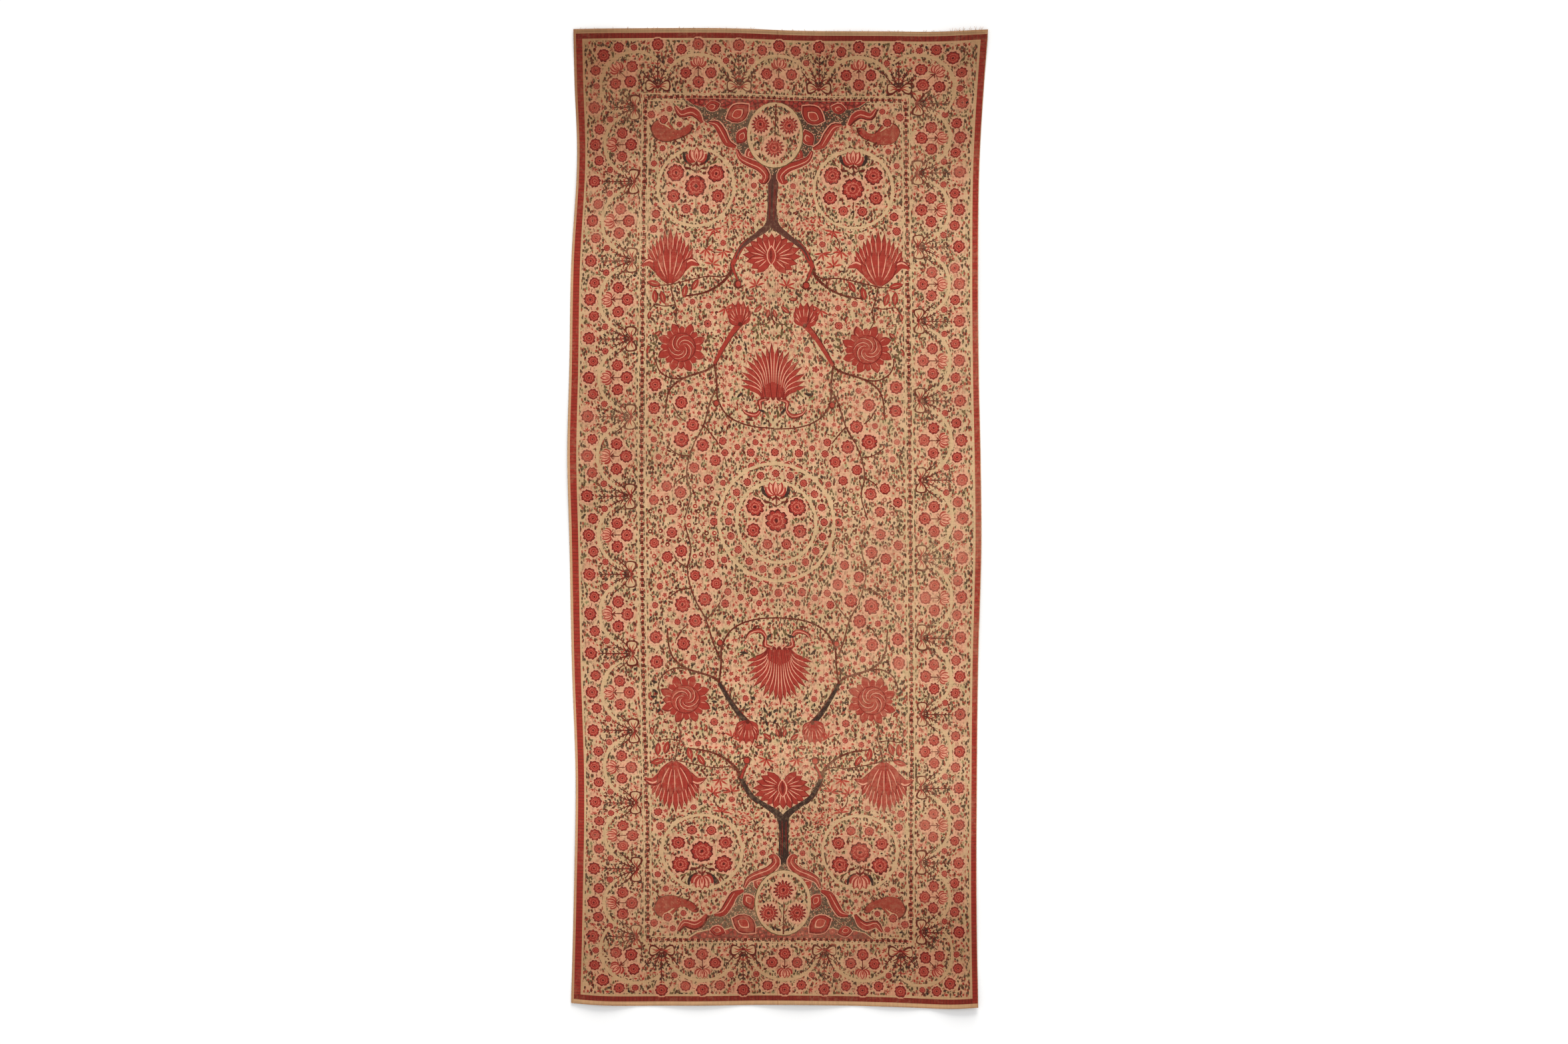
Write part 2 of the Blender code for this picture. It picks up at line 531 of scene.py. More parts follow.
# %% [markdown]
# ## The flowers of the tree
# The tree bears flowers that no plant has: a fan, tulips, carnation cups, peonies and a great flame.
# Each one is a spray of petals. A petal is laid twice, in a deep red and then a little smaller in red,
# and a bare light line parts it from the next. All of them open upwards here.

# %% The tree's flowers
PETAL_SHAPE = (0.4, 0.85, 1.0, 0.8, 0.0)  # how wide, from its root to its tip


def petal(block, path, width):
    """One tongue of a flower, with its darker edge."""
    path = bend(path, 3)
    block.lay(tongue(path, [width * s + 2 * LINE for s in PETAL_SHAPE[:-1]] + [0.0]), "deep madder")
    inner = path[0] + (path - path[0]) * 0.965
    block.lay(tongue(inner, [width * s for s in PETAL_SHAPE]), "madder")


def light_line(block, path, width):
    """The bare line that parts two petals."""
    block.lay(tongue(path, [0.4 * width, width, width, 0.0]), "blush")


def spray(block, tips, width, root=0.0, spread=0.1, belly=(0.5, 0.5), line=2.2, reach=(0.25, 0.8)):
    """Petals from a root to these tips and their mirror images, in mm, parted by light lines."""
    paths = []
    both_sides = set(tips) | {(-x, y) for x, y in tips}
    for x, y in sorted(both_sides, key=lambda tip: math.atan2(tip[0], tip[1] - root)):
        reach_out = 1 + 0.04 * math.sin(5 * abs(x) + y)  # no two petals are quite as long
        x, y = x * reach_out, root + (y - root) * reach_out
        middle = (x * belly[0], root + (y - root) * belly[1])
        paths.append(bend(mm((x * spread, root), middle, (x, y)), 4))
    for path in sorted(paths, key=lambda each: -abs(each[-1][0])):
        petal(block, path[::2], width * MM)
    first, last = (round(share * (len(paths[0]) - 1)) for share in reach)
    for one, other in zip(paths[:-1], paths[1:]):
        light_line(block, ((one + other) / 2)[first : last + 1], line * MM)


def fan_palmette():
    """Petals nearly all round a small vase."""
    block = Block()
    tips = ((0, 88), (22, 86), (42, 79), (59, 66), (71, 49), (75, 29), (71, 8), (58, -9), (38, -18))
    spray(block, tips, 23, root=24, reach=(0.3, 0.75), line=2.6)
    for width, length, ink in ((25, 54, "blush"), (20, 47, "madder"), (8, 38, "deep madder")):
        block.lay(leaf(length * MM, width * MM, y=(29 - length / 2) * MM, steps=6), ink)
    return block


def tulip():
    """A narrow foot, two wings with bare tips, and a tall crown of points."""
    block = Block()
    block.lay(ring(34 * MM, 14, 0, 72 * MM, 1.2), "madder")
    crown = ((62, 76), (60, 92), (52, 108), (42, 121), (31, 132), (17, 141), (0, 145))
    spray(block, crown, 15, root=24, spread=0.2, belly=(0.70, 0.5), line=2.0, reach=(0.45, 0.85))
    for side in (-1, 1):
        petal(block, mm((0, 6), (side * 30, 34), (side * 56, 56), (side * 82, 46)), 22 * MM)
        light_line(block, bend(mm((side * 40, 52), (side * 58, 61), (side * 75, 53))), 4.4 * MM)
    heart = ((47, 64), (32, 88), (13, 108))
    spray(block, heart, 19, spread=0.04, belly=(0.62, 0.46), line=2.6, reach=(0.2, 0.85))
    return block


def carnation():
    """The cup at the start of each upper bough: a burst of red points."""
    block = Block()
    block.lay(ring(19 * MM, 12, 0, 32 * MM, 1.2), "madder")
    tips = ((30, 18), (32, 34), (27, 48), (16, 59), (0, 63))
    spray(block, tips, 15, belly=(0.62, 0.5), line=1.9, reach=(0.4, 0.8))
    block.lay(leaf(14 * MM, 12 * MM, y=-7 * MM), "outline")
    return block


def flame_palmette():
    """The great carnation at the heart of the tree: a neck that bursts into flames."""
    block = Block()
    tips = ((85, 30), (86, 47), (82, 64), (76, 80), (68, 96))
    tips += ((57, 110), (44, 122), (30, 131), (15, 138), (0, 140))
    for x in (-24, -12, 0, 12, 24):
        block.lay(leaf(17 * MM, 12 * MM, x * MM, 7 * MM, turn=math.pi + 0.02 * x), "deep madder")
    spray(block, tips, 15, spread=0.32, belly=(0.46, 0.56), line=2.4, reach=(0.2, 0.85))
    return block


def peony(radius=64 * MM):
    """A round flower: a crown of points, round a heart whose petals curl inwards."""
    block = Block()
    points = 16
    for k in range(points):
        turn = 2 * math.pi * k / points
        reach = radius * (1.06 if k % 2 else 0.9)
        way = np.array((math.sin(turn), math.cos(turn)))
        aside = np.array((way[1], -way[0])) * 3 * MM
        path = [way * radius * 0.35, way * reach * 0.72 + aside, way * reach]
        petal(block, path, radius * 0.33)
    for k in range(points):
        turn = 2 * math.pi * (k + 0.5) / points
        way = np.array((math.sin(turn), math.cos(turn)))
        light_line(block, [way * radius * share for share in (0.62, 0.72, 0.84)], 1.8 * MM)
    block.lay(ring(radius * 0.60, 20), "deep madder")
    block.lay(ring(radius * 0.57, 20), "madder")
    for start in range(0, 360, 60):
        turns = np.linspace(0, 1, 7)
        angles = np.radians(start + 130 * turns)
        out = radius * (0.54 - 0.40 * turns)
        arc = np.column_stack((np.cos(angles), np.sin(angles))) * out[:, None]
        block.lay(tongue(arc + (1.6 * MM, 0), [2 * MM, 3.6 * MM, 1 * MM]), "deep madder")
        block.lay(tongue(arc, [0.8 * MM, 2.2 * MM, 0.6 * MM]), "blush")
    return block


FLOWERS = {
    "fan": fan_palmette(),
    "tulip": tulip(),
    "carnation": carnation(),
    "flame": flame_palmette(),
    "peony": peony(),
}
print({name: len(block.shapes) for name, block in FLOWERS.items()})

# %% [markdown]
# ## The mound and its animals
# Each tree grows from a mound of rocks on the dotted line: a red band of scales, grey stippled stone,
# red scrolls like flames up its sides, and an oval with three spiked flowers. A spotted animal
# crouches at either side. From here on a field block has x across from the middle line, and y inwards
# from the dotted line, and one side is drawn for both.

# %% The mound
SCROLLS = (
    # points of each scroll across and in, in mm
    ((271, 24), (255, 44), (229, 38), (211, 47), (197, 68)),
    ((178, 66), (157, 72), (141, 95), (127, 120), (103, 131)),
    ((101, 138), (90, 160), (63, 174), (38, 184), (20, 204), (26, 222), (38, 219)),
)
SCROLL_LAYERS = (
    # ink, and widths along the scroll in mm, from the lowest layer up
    ("blush", (10, 24, 28, 24, 11)),
    ("outline", (7, 20, 23, 20, 8)),
    ("madder", (4, 16, 19, 16, 5)),
)
STONE = (
    (0, 3), (252, 3), (226, 26), (197, 52), (186, 68), (160, 66), (139, 92),
    (126, 116), (100, 130), (92, 152), (62, 168), (34, 182), (14, 196), (0, 204),
)
SCALED_BAND = (
    (0, 3), (250, 3), (226, 20), (196, 27), (160, 24),
    (138, 32), (112, 26), (84, 26), (66, 34), (0, 34),
)
ROCKS = (
    # across, in, size, turn
    (103, 46, 76, 1.9), (88, 106, 50, 2.4), (62, 150, 44, 2.2), (172, 26, 44, 1.5),
)
ROCK_LAYERS = (
    # share of the rock's size, and ink, from the lowest layer up
    (1.0, "blush"), (0.92, "deep madder"), (0.80, "madder"),
    (0.52, "deep madder"), (0.45, "blush"), (0.37, "bright madder"),
)


def mound_side():
    block = Block()
    block.lay(mm(*STONE), "stippled rock")
    block.lay(mm(*SCALED_BAND), "pale")
    block.lay(mm(*SCALED_BAND) * (0.985, 0.95), "scales")
    for x, y, size, turn in ROCKS:
        rock = Block()
        for share, ink in ROCK_LAYERS:
            length = size * share * MM
            rock.lay(leaf(length, length * 0.72, y=-length * 0.45, lean=0.25, steps=6), ink)
        block.add(rock, x * MM, y * MM, turn=turn)
    for points in SCROLLS:
        path = mm(*points)
        for ink, widths in SCROLL_LAYERS:
            block.stroke(path, mm(*widths), ink)
        block.stroke(path[:-1] + (0, 2 * MM), mm(1, 2.4, 2.4, 1), "blush")
    return block


OVAL_MIDDLE, OVAL_RADIUS, OVAL_FLAT = 97 * MM, 76 * MM, 1.17
OVAL_LEAVES = (
    # across, in, turn, length, ink
    (5, 22, 1.1, 17, "iron black"), (22, 22, 0.6, 16, "iron black"), (4, 46, 0.5, 14, "outline"),
    (6, 74, 0.7, 15, "outline"), (34, 104, 0.2, 17, "olive"), (46, 96, 0.9, 14, "iron black"),
    (6, 92, 0.9, 13, "olive"), (30, 128, 0.3, 15, "madder"), (26, 152, 0.9, 12, "olive"),
)


def oval_ring(radius):
    return ring(radius, 28, 0, OVAL_MIDDLE, OVAL_FLAT)


def oval():
    """The oval medallion in the middle of the mound."""
    block = Block()
    for inset, ink in ((0, "olive"), (1.5 * MM, "pale"), (9 * MM, "cotton")):
        block.lay(oval_ring(OVAL_RADIUS - inset), ink)
    block.stroke(mm((0, 14), (0, 60), (0, 104)), mm(4, 3, 2), "outline")
    for side in (-1, 1):
        block.stroke(mm((0, 40), (side * 22, 30), (side * 34, 44)), [1.6 * MM], "outline")
        block.leaves(OVAL_LEAVES, side, 0.36, steps=3)
        block.cell("spiked rosette", 25 * MM, side * 38 * MM, 70 * MM)
    block.cell("spiked rosette", 27 * MM, 0, 131 * MM)
    return block


CAT = (
    (334, 84), (326, 68), (308, 60), (290, 64), (280, 76), (268, 88), (250, 86), (236, 74),
    (224, 76), (228, 90), (242, 102), (262, 110), (284, 117), (306, 116), (324, 106),
)
CAT_MIDDLE = (290, 90)
CAT_LEGS = (
    ((272, 112), (262, 122), (268, 130)),
    ((250, 104), (242, 114), (248, 122)),
    ((318, 114), (326, 122)),
)


def animal():
    """A crouching spotted cat: a fat haunch, a back that thins to the neck, and short legs."""
    block = Block()
    outline = bend(mm(*CAT, CAT[0]), 2)[:-1]
    middle = mm(*CAT_MIDDLE)
    block.lay(middle + (outline - middle) * 1.07, "outline")
    block.lay(outline, "spotted")
    block.stroke(mm((306, 66), (296, 74), (282, 84)), mm(1.6, 5, 1.6), "pale")
    for leg in CAT_LEGS:
        block.stroke(mm(*leg), mm(4.4, 1.8), "outline")
    block.lay(leaf(15 * MM, 6 * MM, 230 * MM, 80 * MM, turn=1.2), "outline")  # an ear
    return block


MOUND_SIDE, OVAL, ANIMAL = mound_side(), oval(), animal()
print("one side of the mound has", len(MOUND_SIDE.shapes), "shapes")

# %% [markdown]
# ## The tree
# The trunk forks round the fan, and its boughs thin out and curl towards the middle of the cloth.
# "trunk", "bough" and "foliage" stand for inks that differ between the two trees. The tables hold only
# the turning points of each branch, in mm across and in. The finer branches carry barbs like a feather.

# %% The tree's branches, leaves and flowers
BRANCHES = (
    # ink, width at the start and end in mm, barbs, turning points
    ("bough", 12, 10, 0, ((60, 378), (78, 394), (94, 420), (104, 442), (108, 458))),
    ("trunk", 22, 3, 0, ((2, 326), (16, 346), (42, 366), (66, 384), (84, 402), (98, 430))),
    ("outline", 9, 4.0, 12, ((106, 448), (116, 474), (146, 502), (186, 521), (240, 530))),
    ("outline", 4.0, 2.6, 0, ((110, 466), (134, 478), (170, 476), (216, 484), (276, 498), (306, 500))),
    ("outline", 3.6, 2.6, 4, ((274, 496), (268, 530), (258, 562), (262, 590), (250, 612))),
    ("outline", 3.0, 2.2, 0, ((262, 552), (290, 556), (318, 552), (330, 566))),
    ("madder", 6, 4, 0, ((106, 446), (98, 470), (90, 486))),
    ("bough", 15, 8, 0, ((80, 594), (92, 608), (110, 630), (134, 668), (156, 708))),
    ("outline", 7, 3.6, 7, ((156, 708), (176, 724), (236, 744), (270, 768), (284, 800), (288, 850))),
    ("outline", 4.2, 3.0, 0, ((236, 744), (270, 746), (300, 730), (312, 706), (312, 688))),
    ("outline", 5.4, 3.4, 6, ((156, 708), (150, 760), (148, 800), (128, 838), (96, 860), (54, 872),
                              (0, 876))),
    ("outline", 4.6, 3.2, 7, ((150, 770), (168, 810), (186, 870), (208, 910), (224, 950), (232, 1000),
                              (222, 1050), (238, 1110))),
    ("outline", 3.8, 2.8, 3, ((186, 870), (220, 866), (250, 846), (268, 812))),
    ("outline", 3.6, 2.8, 3, ((224, 950), (256, 944), (284, 924))),
    ("outline", 3.6, 2.6, 2, ((232, 1000), (258, 1016), (272, 1040))),
    ("outline", 3.6, 2.6, 2, ((186, 870), (160, 900), (140, 930), (128, 966))),
    ("outline", 3.4, 2.6, 0, ((0, 560), (4, 590), (22, 602), (46, 600))),
    ("outline", 3.2, 2.4, 0, ((140, 356), (166, 366), (176, 392), (160, 410), (136, 412))),
)
ALMONDS = (
    # across, in, turn in degrees, length, all from the leaf's root
    (6, 560, -14, 26), (24, 552, -50, 30), (44, 532, -88, 24),
    (300, 499, -104, 40), (316, 548, 184, 38), (290, 550, 196, 38), (240, 534, 168, 38),
    (216, 514, 150, 36), (300, 620, -50, 26), (330, 566, -8, 24), (196, 576, 20, 20),
    (142, 636, 30, 18), (330, 660, -20, 24),
)
DARK_LEAVES = (
    # across, in, turn
    (20, 596, 0.5), (34, 590, -0.2), (42, 606, -0.9), (28, 614, 0.2), (20, 628, 0.9), (36, 628, -0.4),
    (318, 628, 0.6), (326, 652, 1.2), (334, 672, 1.7), (328, 692, 2.2), (316, 708, -1.2),
    (164, 632, -0.8), (162, 656, -1.4),
)
LILIES = (
    # across, in, turn in degrees
    (158, 350, 10), (180, 404, 40), (131, 408, -10), (161, 444, 170), (126, 560, 30), (40, 500, 200),
)
VINE_ROSETTES = (
    # across, in, radius
    (316, 763, 18), (246, 810, 17.5), (316, 825, 17), (214, 868, 18), (246, 908, 21), (190, 921, 18),
    (158, 961, 15.5), (213, 981, 14.5), (285, 1028, 15), (248, 1043, 16.5), (318, 1063, 13.5),
    (272, 1089, 14.5), (110, 718, 9), (172, 601, 11), (176, 1010, 13), (62, 940, 11.5), (0, 938, 11),
    (29, 972, 10.5),
    (62, 976, 10), (136, 910, 11), (130, 940, 10), (162, 1117, 11), (317, 310, 12), (322, 350, 11.5),
    (300, 60, 12), (334, 46, 11), (112, 270, 10),
)
BERRIES, BERRY_CLUMP, BERRIES_AT = 34, 34 * MM, (90 * MM, 322 * MM)


def tree_side():
    block = Block()
    block.add(FLOWERS["tulip"], 276 * MM, 494 * MM, turn=math.pi)
    block.add(FLOWERS["peony"], 244 * MM, 664 * MM, turn=math.pi)
    for ink, start, end, barbs, points in BRANCHES:
        path = bend(mm(*points), 4)
        if ink in ("bough", "madder"):
            block.lay(tongue(path, [(start + 3) * MM, (end + 2.4) * MM]), "outline")
        block.lay(tongue(path, [start * MM, end * MM]), ink)
        for k in range(barbs):
            i = 1 + k * (len(path) - 2) // barbs
            along = path[i + 1] - path[i]
            heading = math.atan2(-along[0], along[1])
            for side in (-1, 1):
                barb = leaf(9 * MM, 2.8 * MM, *path[i], turn=heading + side * 0.75, steps=2)
                block.lay(barb, "outline" if k % 3 else "olive")
    block.add(FLOWERS["carnation"], 85 * MM, 602 * MM, turn=math.pi + 0.1)
    for x, y, degrees, length in ALMONDS:
        block.add(almond(length * MM), x * MM, y * MM, turn=math.radians(degrees))
    for x, y, degrees in LILIES:
        block.add(lily(23 * MM), x * MM, y * MM, turn=math.radians(degrees))
    for x, y, turn in DARK_LEAVES:
        block.lay(leaf(17 * MM, 7 * MM, x * MM, y * MM, turn=turn), "foliage")
    for x, y, radius in VINE_ROSETTES:
        block.cell("rosette" if radius > 9.5 else "daisy", radius * MM, x * MM, y * MM, turn=x, count=10)
    block.add(bud(13 * MM), 90 * MM, 496 * MM, turn=math.pi)
    block.add(bud(11 * MM), 152 * MM, 812 * MM)
    kit = random.Random(5)
    for k in range(BERRIES):
        way = kit.uniform(0, 2 * math.pi)
        out = BERRY_CLUMP * math.sqrt(kit.random())
        x, y = BERRIES_AT[0] + out * math.cos(way), BERRIES_AT[1] + out * math.sin(way)
        berry = leaf(12 * MM, 5 * MM, x, y, turn=kit.uniform(-1.5, 1.5), steps=2)
        block.lay(berry, "bright madder" if k % 3 else "outline")
    return block


BARK = (
    # across, where a line in the bark starts and ends, ink
    (-9, 212, 300, "outline"), (-4, 226, 330, "deep madder"),
    (3, 208, 290, "iron black"), (8, 240, 335, "deep madder"),
)
FLAME_LEAVES = (
    # across, in, turn, length, ink
    (62, 770, 0.4, 24, "olive"), (80, 782, 1.1, 24, "iron black"), (88, 800, 1.8, 24, "sage"),
    (18, 836, 2.2, 24, "iron black"), (10, 850, 2.8, 24, "olive"), (52, 856, 2.0, 24, "outline"),
)


def tree_middle():
    block = Block()
    block.stroke(mm((0, 200), (0, 240), (1, 290), (0, 342)), mm(31, 27, 24, 31), "trunk")
    for x, start, end, ink in BARK:
        line = mm((x, start), (x * 0.8, (start + end) / 2), (x, end))
        block.stroke(line, mm(1, 2.8, 1), ink)
    block.add(FLOWERS["fan"], y=447 * MM, turn=math.pi)
    block.add(FLOWERS["flame"], y=794 * MM, turn=math.pi)
    for side in (-1, 1):
        curl = mm((18, 800), (36, 806), (34, 826), (48, 842), (74, 836), (88, 816)) * (side, 1)
        block.stroke(curl, mm(5, 13, 8, 14, 9, 0), "outline")
        block.stroke(curl, mm(3, 10, 5, 11, 6, 0), "madder")
        block.stroke(curl, mm(1, 2.4, 1, 2.4, 0), "blush")
        block.leaves(FLAME_LEAVES, side, 7 / 24, lean=0.3)
    return block


TREE_SIDE, TREE_MIDDLE = tree_side(), tree_middle()
print("one side of the tree has", len(TREE_SIDE.shapes), "shapes")

# %% [markdown]
# ## The medallions
# Four round bouquets stand beside the trunks, and a larger one marks the middle of the cloth. Each is
# a pale ring round seven rosettes and an outlined lotus with dark leaves. The middle one also has a
# wreath of small flowers between two rings.

# %% The medallions
BOUQUET = (
    # across, up, radius, from the ring's middle, in mm
    (0, 2, 30), (-55, 37, 24), (55, 37, 24), (-60, -23, 18.5), (60, -23, 18.5),
    (-25, -58, 14), (25, -58, 14),
)
LOTUS_LEAVES = (
    # across, up, turn, length, ink
    (8, 58, 1.15, 34, "outline"), (22, 62, 0.75, 32, "iron black"), (36, 58, 1.3, 24, "olive"),
    (30, 72, 0.4, 22, "iron black"), (12, 50, 1.7, 26, "outline"), (44, 66, 0.9, 18, "outline"),
)
RING, OUTER_RING, RING_WIDTH = 107, 154, 7.5  # mm
WREATH, WREATH_FLOWERS = 125 * MM, 20
ROW_INKS = ("olive", "outline", "bright madder", "outline")


def leaf_row(block, radius):
    """A ring of tiny leaves, that lean in and out in turn."""
    count = int(radius * 0.42)
    for k in range(count):
        turn = 2 * math.pi * k / count
        x, y = math.sin(turn) * radius * MM, math.cos(turn) * radius * MM
        turn = -turn + (1.1 if k % 2 else -1.1)
        block.lay(leaf(10 * MM, 4.4 * MM, x, y, turn, steps=2), ROW_INKS[k % 4])


def medallion(wreath=False):
    block = Block()
    for outer in (OUTER_RING, RING) if wreath else (RING,):
        inner = outer - RING_WIDTH
        block.lay(ring(outer * MM, 44), "pale")
        block.lay(ring(inner * MM, 40), "cotton")
        leaf_row(block, outer + 4)
        leaf_row(block, inner - 5)
    if wreath:
        for k in range(WREATH_FLOWERS):
            turn = 2 * math.pi * k / WREATH_FLOWERS
            x, y = math.sin(turn) * WREATH, math.cos(turn) * WREATH
            block.cell("rosette", 10.5 * MM, x, y, turn, count=9)
    for side in (-1, 1):
        block.leaves(LOTUS_LEAVES, side, 0.3, lean=side * 0.3)
        block.stroke(mm((0, 40), (side * 24, 52), (side * 46, 44)), [2.4 * MM], "outline")
    block.stroke(mm((0, -70), (0, 20), (0, 76)), mm(1.6, 3.0), "outline")
    block.add(open_lotus(23 * MM), y=80 * MM)
    for x, y, radius in BOUQUET:
        block.cell("rosette", radius * MM, x * MM, y * MM, turn=radius, reach=1.14, count=16)
    return block


MEDALLION, MIDDLE_MEDALLION = medallion(), medallion(wreath=True)
MEDALLION_AT = (210 * MM, 239 * MM)
print("a medallion has", len(MEDALLION.shapes), "shapes")

# %% [markdown]
# ## The filling
# A printer of these cloths leaves no gap: thousands of tiny sprigs and leaves are pressed between the
# flowers. A Patch remembers which places are already printed, on a grid of 2 mm. `scatter` then tries
# places that are spread evenly but not in rows, and sets a small motif wherever there is room.

# %% Fill the gaps
class Patch:
    """Remembers which places of a part of the design are taken."""

    step = 2 * MM

    def __init__(self, low, high):
        self.low, self.high = np.array(low, float), np.array(high, float)
        across, along = np.ceil((self.high - self.low) / self.step).astype(int)
        self.x = self.low[0] + (np.arange(across) + 0.5) * self.step
        self.y = self.low[1] + (np.arange(along) + 0.5) * self.step
        self.taken = np.zeros((along, across), bool)

    def window(self, low, high):
        first = np.floor((np.array(low) - self.low) / self.step).astype(int)
        last = np.ceil((np.array(high) - self.low) / self.step).astype(int)
        first, last = np.maximum(first, 0), np.maximum(last, 0)
        return slice(first[1], last[1]), slice(first[0], last[0])

    def cover(self, outline, taken=True):
        rows, columns = self.window(outline.min(axis=0), outline.max(axis=0))
        x, y = self.x[columns][None, :], self.y[rows][:, None]
        inside = np.zeros((y.size, x.size), bool)
        for (x0, y0), (x1, y1) in zip(outline, np.roll(outline, -1, axis=0)):
            if y0 != y1:
                inside ^= ((y0 > y) != (y1 > y)) & (x < x0 + (x1 - x0) * (y - y0) / (y1 - y0))
        self.taken[rows, columns][inside] = taken

    def cover_all(self, block):
        """Marks a block's shapes in printing order. A bare shape frees what it covers."""
        for outline, ink, _ in block.shapes:
            self.cover(outline, ink not in ("cotton", "blush"))

    def round_window(self, x, y, radius):
        rows, columns = self.window((x - radius, y - radius), (x + radius, y + radius))
        near = (self.x[columns][None, :] - x) ** 2 + (self.y[rows][:, None] - y) ** 2 < radius**2
        return self.taken[rows, columns], near

    def is_free(self, x, y, radius):
        window, near = self.round_window(x, y, radius)
        return near.any() and not window[near].any()

    def take(self, x, y, radius):
        window, near = self.round_window(x, y, radius)
        window[near] = True


def scatter(block, patch, kit, make, pitch, radius, claim=None, within=None):
    """Sets motifs wherever the patch has room, on a loose grid of the given pitch."""
    across, along = ((patch.high - patch.low) / pitch).astype(int) + 1
    places = [(i, j) for i in range(across) for j in range(along)]
    kit.shuffle(places)
    for i, j in places:
        x = patch.low[0] + (i + 0.5 * (j % 2) + kit.uniform(-0.35, 0.35)) * pitch
        y = patch.low[1] + (j + kit.uniform(-0.35, 0.35)) * pitch
        sides = zip(patch.low + radius, (x, y), patch.high - radius)
        inside = all(low < at < high for low, at, high in sides)
        if inside and (within is None or within(x, y)) and patch.is_free(x, y, radius):
            block.add(make(kit), x, y, turn=kit.uniform(0, 2 * math.pi))
            patch.take(x, y, claim or radius)


def small_rosette(kit):
    shape = Block()
    shape.cell("rosette", 8.5 * MM, count=9)
    return shape


def small_daisy(kit):
    shape = Block()
    for turn in (0.6, 3.6):
        shape.lay(leaf(8 * MM, 3 * MM, turn=turn, steps=2), "olive")
    shape.cell("daisy", 6 * MM, count=7)
    return shape


def eyelet(kit):
    """A small ring of dark petals round a bare eye."""
    shape = Block()
    shape.lay(ring(6.2 * MM, 8), kit.choice(("outline", "deep madder", "madder")))
    shape.lay(ring(2.8 * MM, 5), "pale")
    return shape


def tuft(kit):
    """A few red leaves from one point."""
    shape = Block()
    for turn in (-1.0, -0.35, 0.35, 1.0):
        petal_shape = leaf(11 * MM, 3.8 * MM, y=-4 * MM, turn=turn, lean=turn * 0.15, steps=2)
        shape.lay(petal_shape, kit.choice(("bright madder", "madder")))
    shape.lay(leaf(6 * MM, 3 * MM, y=-7 * MM, steps=2), "outline")
    return shape


def sprig(kit):
    """A twig with a bud and two leaves."""
    shape = Block()
    ink = kit.choice(("outline", "bright madder", "olive"))
    shape.lay(leaf(14 * MM, 2.6 * MM, y=-8 * MM, lean=0.2, steps=3), "outline")
    for side, y in ((-1, -3), (1, 0)):
        shape.lay(leaf(8 * MM, 3.8 * MM, 0, y * MM, turn=side * 0.9, steps=2), ink)
    shape.lay(ring(3.4 * MM, 5, 0, 5 * MM), kit.choice(("bright madder", "madder", "outline")))
    return shape


SPECK_INKS = ("outline", "iron black", "bright madder", "olive", "sage")
SPECK_SHARES = (40, 14, 28, 13, 5)  # how many in a hundred have each ink
SPECK_LENGTH = 9.8 * MM


def speck(kit):
    """One of the tiny leaves that fill every gap."""
    shape = Block()
    length = SPECK_LENGTH * kit.uniform(0.75, 1.25)
    width = length * kit.uniform(0.46, 0.68)
    outline = leaf(length, width, y=-length / 2, lean=kit.uniform(-0.25, 0.25), steps=2)
    shape.lay(outline, kit.choices(SPECK_INKS, SPECK_SHARES)[0])
    return shape


def fill(block, patch, seed, daisies=34 * MM, rosettes=0.0, within=None):
    """All the filling of one patch, from the larger motifs to the specks."""
    kit = random.Random(seed)
    if rosettes:
        scatter(block, patch, kit, small_rosette, rosettes, 12 * MM, within=within)
    if daisies:
        scatter(block, patch, kit, small_daisy, daisies, 9 * MM, within=within)
        scatter(block, patch, kit, tuft, daisies, 9.5 * MM, within=within)
    scatter(block, patch, kit, sprig, 21 * MM, 8.5 * MM, within=within)
    scatter(block, patch, kit, speck, 9 * MM, 4.9 * MM, 4.5 * MM, within=within)


def filled(block, seed, within):
    """A block that lies on its own bare ground, with its own filling in it."""
    outlines = np.vstack([shape[0] for shape in block.shapes])
    patch = Patch(outlines.min(axis=0), outlines.max(axis=0))
    patch.cover_all(block)
    full = Block()
    full.add(block)
    fill(full, patch, seed, daisies=0, within=within)
    return full


print("the filling is ready")

# %% [markdown]
# ## Print the border
# Along each edge lie, from outside in: an undyed margin, a red stripe with ticks, a thin pale line,
# and the garlands with their bows. Dots between two pale lines close the border. The printer did not
# measure, so the stripes differ, the bows are at uneven places, and each arch is squeezed or stretched
# to fit.

# %% Print the border
BOWS = {
    # the places of the bows along each edge, in mm from its middle
    "left": (-1110, -929, -740, -539, -333, -134, 64, 272, 477, 685, 894, 1091),
    "right": (-1090, -904, -690, -487, -286, -86, 114, 322, 532, 728, 926, 1110),
    "head": (-318, -99, 116, 332),
    "foot": (-314, -103, 113, 322),
}
EDGES = {
    # how far the block is turned, and the dotted line's place
    "left": (math.pi / 2, -GUARD_X),
    "right": (-math.pi / 2, GUARD_X),
    "head": (0.0, GUARD_Y),
    "foot": (math.pi, -GUARD_Y),
}
CORNERS = (
    # across, up, turn, mirror
    (1, 1, 0.0, 1), (-1, 1, 0.0, -1), (1, -1, math.pi, -1), (-1, -1, math.pi, 1),
)
